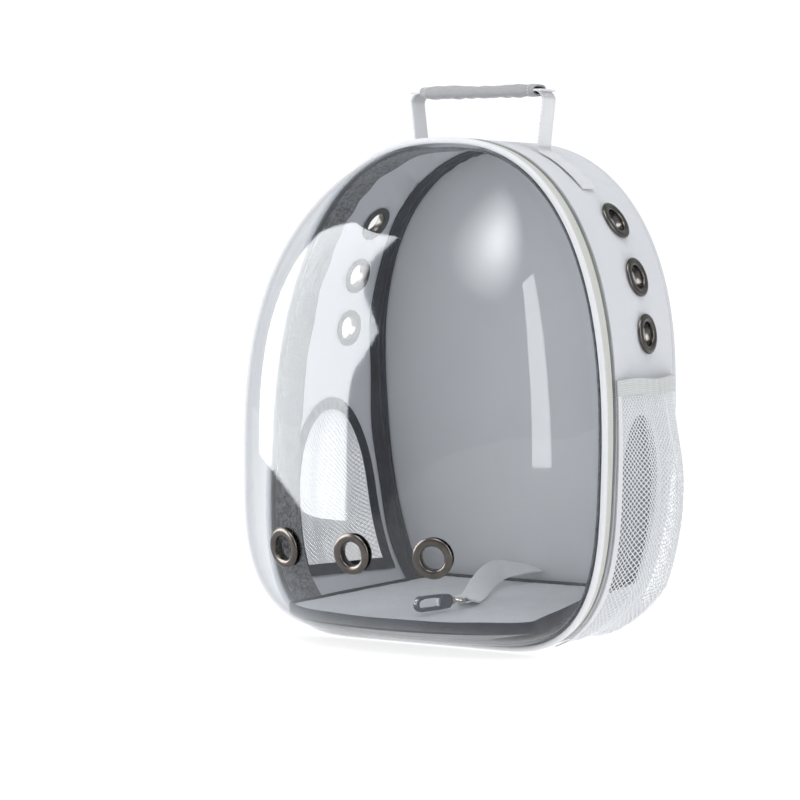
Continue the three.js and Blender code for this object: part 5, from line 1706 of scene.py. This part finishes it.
for word, side in (("left", -1), ("right", 1)):
    pad, (points, across, facing, wide) = strap_pad(f"strap_pad_{word}", side)
    finish(pad, pad_cloth, "grey_panel", f"shoulder_strap_{word}", angle=60)
    outward = facing * np.sign(facing[:, 1:2])
    lines = []
    for edge in (-0.41, 0.41):
        line = points + across * (wide * edge)[:, None] + outward * STRAP["thick"] * 0.24
        lines.append((line[6:-6], outward[6:-6], 3 * MM))
    sew(f"strap_stitches_{word}", lines, thread, "grey_panel")
    tail_rows = [(0, height, x, STRAP_WEB["width"] / MM) for height, x in TAIL_SECTIONS]
    tail_points, tail_across, _, _ = strap_line(side, tail_rows, STRAP_WEB["thick"], 80)
    tail = ribbon(f"strap_tail_web_{word}", tail_points, tail_across, STRAP_WEB["width"],
                  STRAP_WEB["thick"], columns=110, rows=10)
    finish(tail, webbing_cloth, "webbing", f"strap_tail_{word}", angle=50)

# %% Slide buckles and yoke
BUCKLE = dict(width=34 * MM, height=18 * MM, thick=4.4 * MM, bar=4 * MM, at=(105 * MM, 135 * MM))
YOKE = dict(width=128 * MM, height=26 * MM, thick=3 * MM)
rear_tilt = math.atan2(-REAR["lean"], REAR["height"])


def lean_with_back(piece, centre):
    turn = np.array(Matrix.Rotation(rear_tilt, 3, "X"))
    move_points(piece, points_of(piece) @ turn.T + np.array(centre))


for word, side in (("left", -1), ("right", 1)):
    buckle = rounded_box(f"slide_buckle_{word}", (BUCKLE["width"], BUCKLE["thick"], BUCKLE["height"]),
                         bevel=1.6 * MM, segments=4)
    slots = [rounded_box("slot_tool", (STRAP_WEB["width"] + 2 * MM, BUCKLE["thick"] * 2, BUCKLE["bar"]),
                         (0, 0, step * (BUCKLE["height"] - BUCKLE["bar"]) / 4), 0.6 * MM) for step in (-1, 1)]
    cut(buckle, *slots)
    x, height = BUCKLE["at"]
    lean_with_back(buckle, (side * x, panel_rear(height) + STRAP_SEAT + BUCKLE["thick"] / 2, height))
    finish(buckle, grey_plastic, "plastic", f"strap_buckle_{word}", angle=35)

yoke_height = 366 * MM + YOKE["height"] / 2 + 4 * GAP
yoke_centre = (0, panel_rear(yoke_height) + STRAP_SEAT + YOKE["thick"] / 2, yoke_height)
yoke = rounded_box("yoke_patch", (YOKE["width"], YOKE["thick"], YOKE["height"]), bevel=1.1 * MM, segments=3)
lean_with_back(yoke, yoke_centre)
finish(yoke, pad_cloth, "grey_panel", "strap_yoke", angle=50)
lines = []
border = [(-1, -1), (1, -1), (1, 1), (-1, 1), (-1, -1)]
for inset in (3 * MM, 5.5 * MM):
    ring = np.array([(a * (YOKE["width"] / 2 - inset), YOKE["thick"] / 2 + 0.1 * MM,
                      b * (YOKE["height"] / 2 - inset)) for a, b in border])
    turn = np.array(Matrix.Rotation(rear_tilt, 3, "X"))
    ring = ring @ turn.T + np.array(yoke_centre)
    lines.append((ring, np.tile([0, 1.0, 0], (5, 1)), 3 * MM))
sew("yoke_stitches", lines, thread, "grey_panel")

# %% [markdown]
# ## The cloth pieces
# Each cloth piece is looked up by its name, and two pocket sizes are worked out, but neither is
# used further. The tape, the facing and the corner binding are strips once round the wall.

# %% Cloth pieces looked up by name
piece = bpy.data.objects.get
piece("zip_tape_band")
piece("knitted_facing_band")
piece("corner_velour")
for word in ("left", "right"):
    piece(f"window_net_{word}")
    piece(f"window_velour_{word}")
    piece(f"pocket_strands_{word}")
    POCKET_WIDE * 1.12
    POCKET_WIDE * POCKET_TALL * 1.15
    piece(f"pocket_hem_{word}")
    piece(f"pocket_elastic_{word}")
piece("fabric_body")
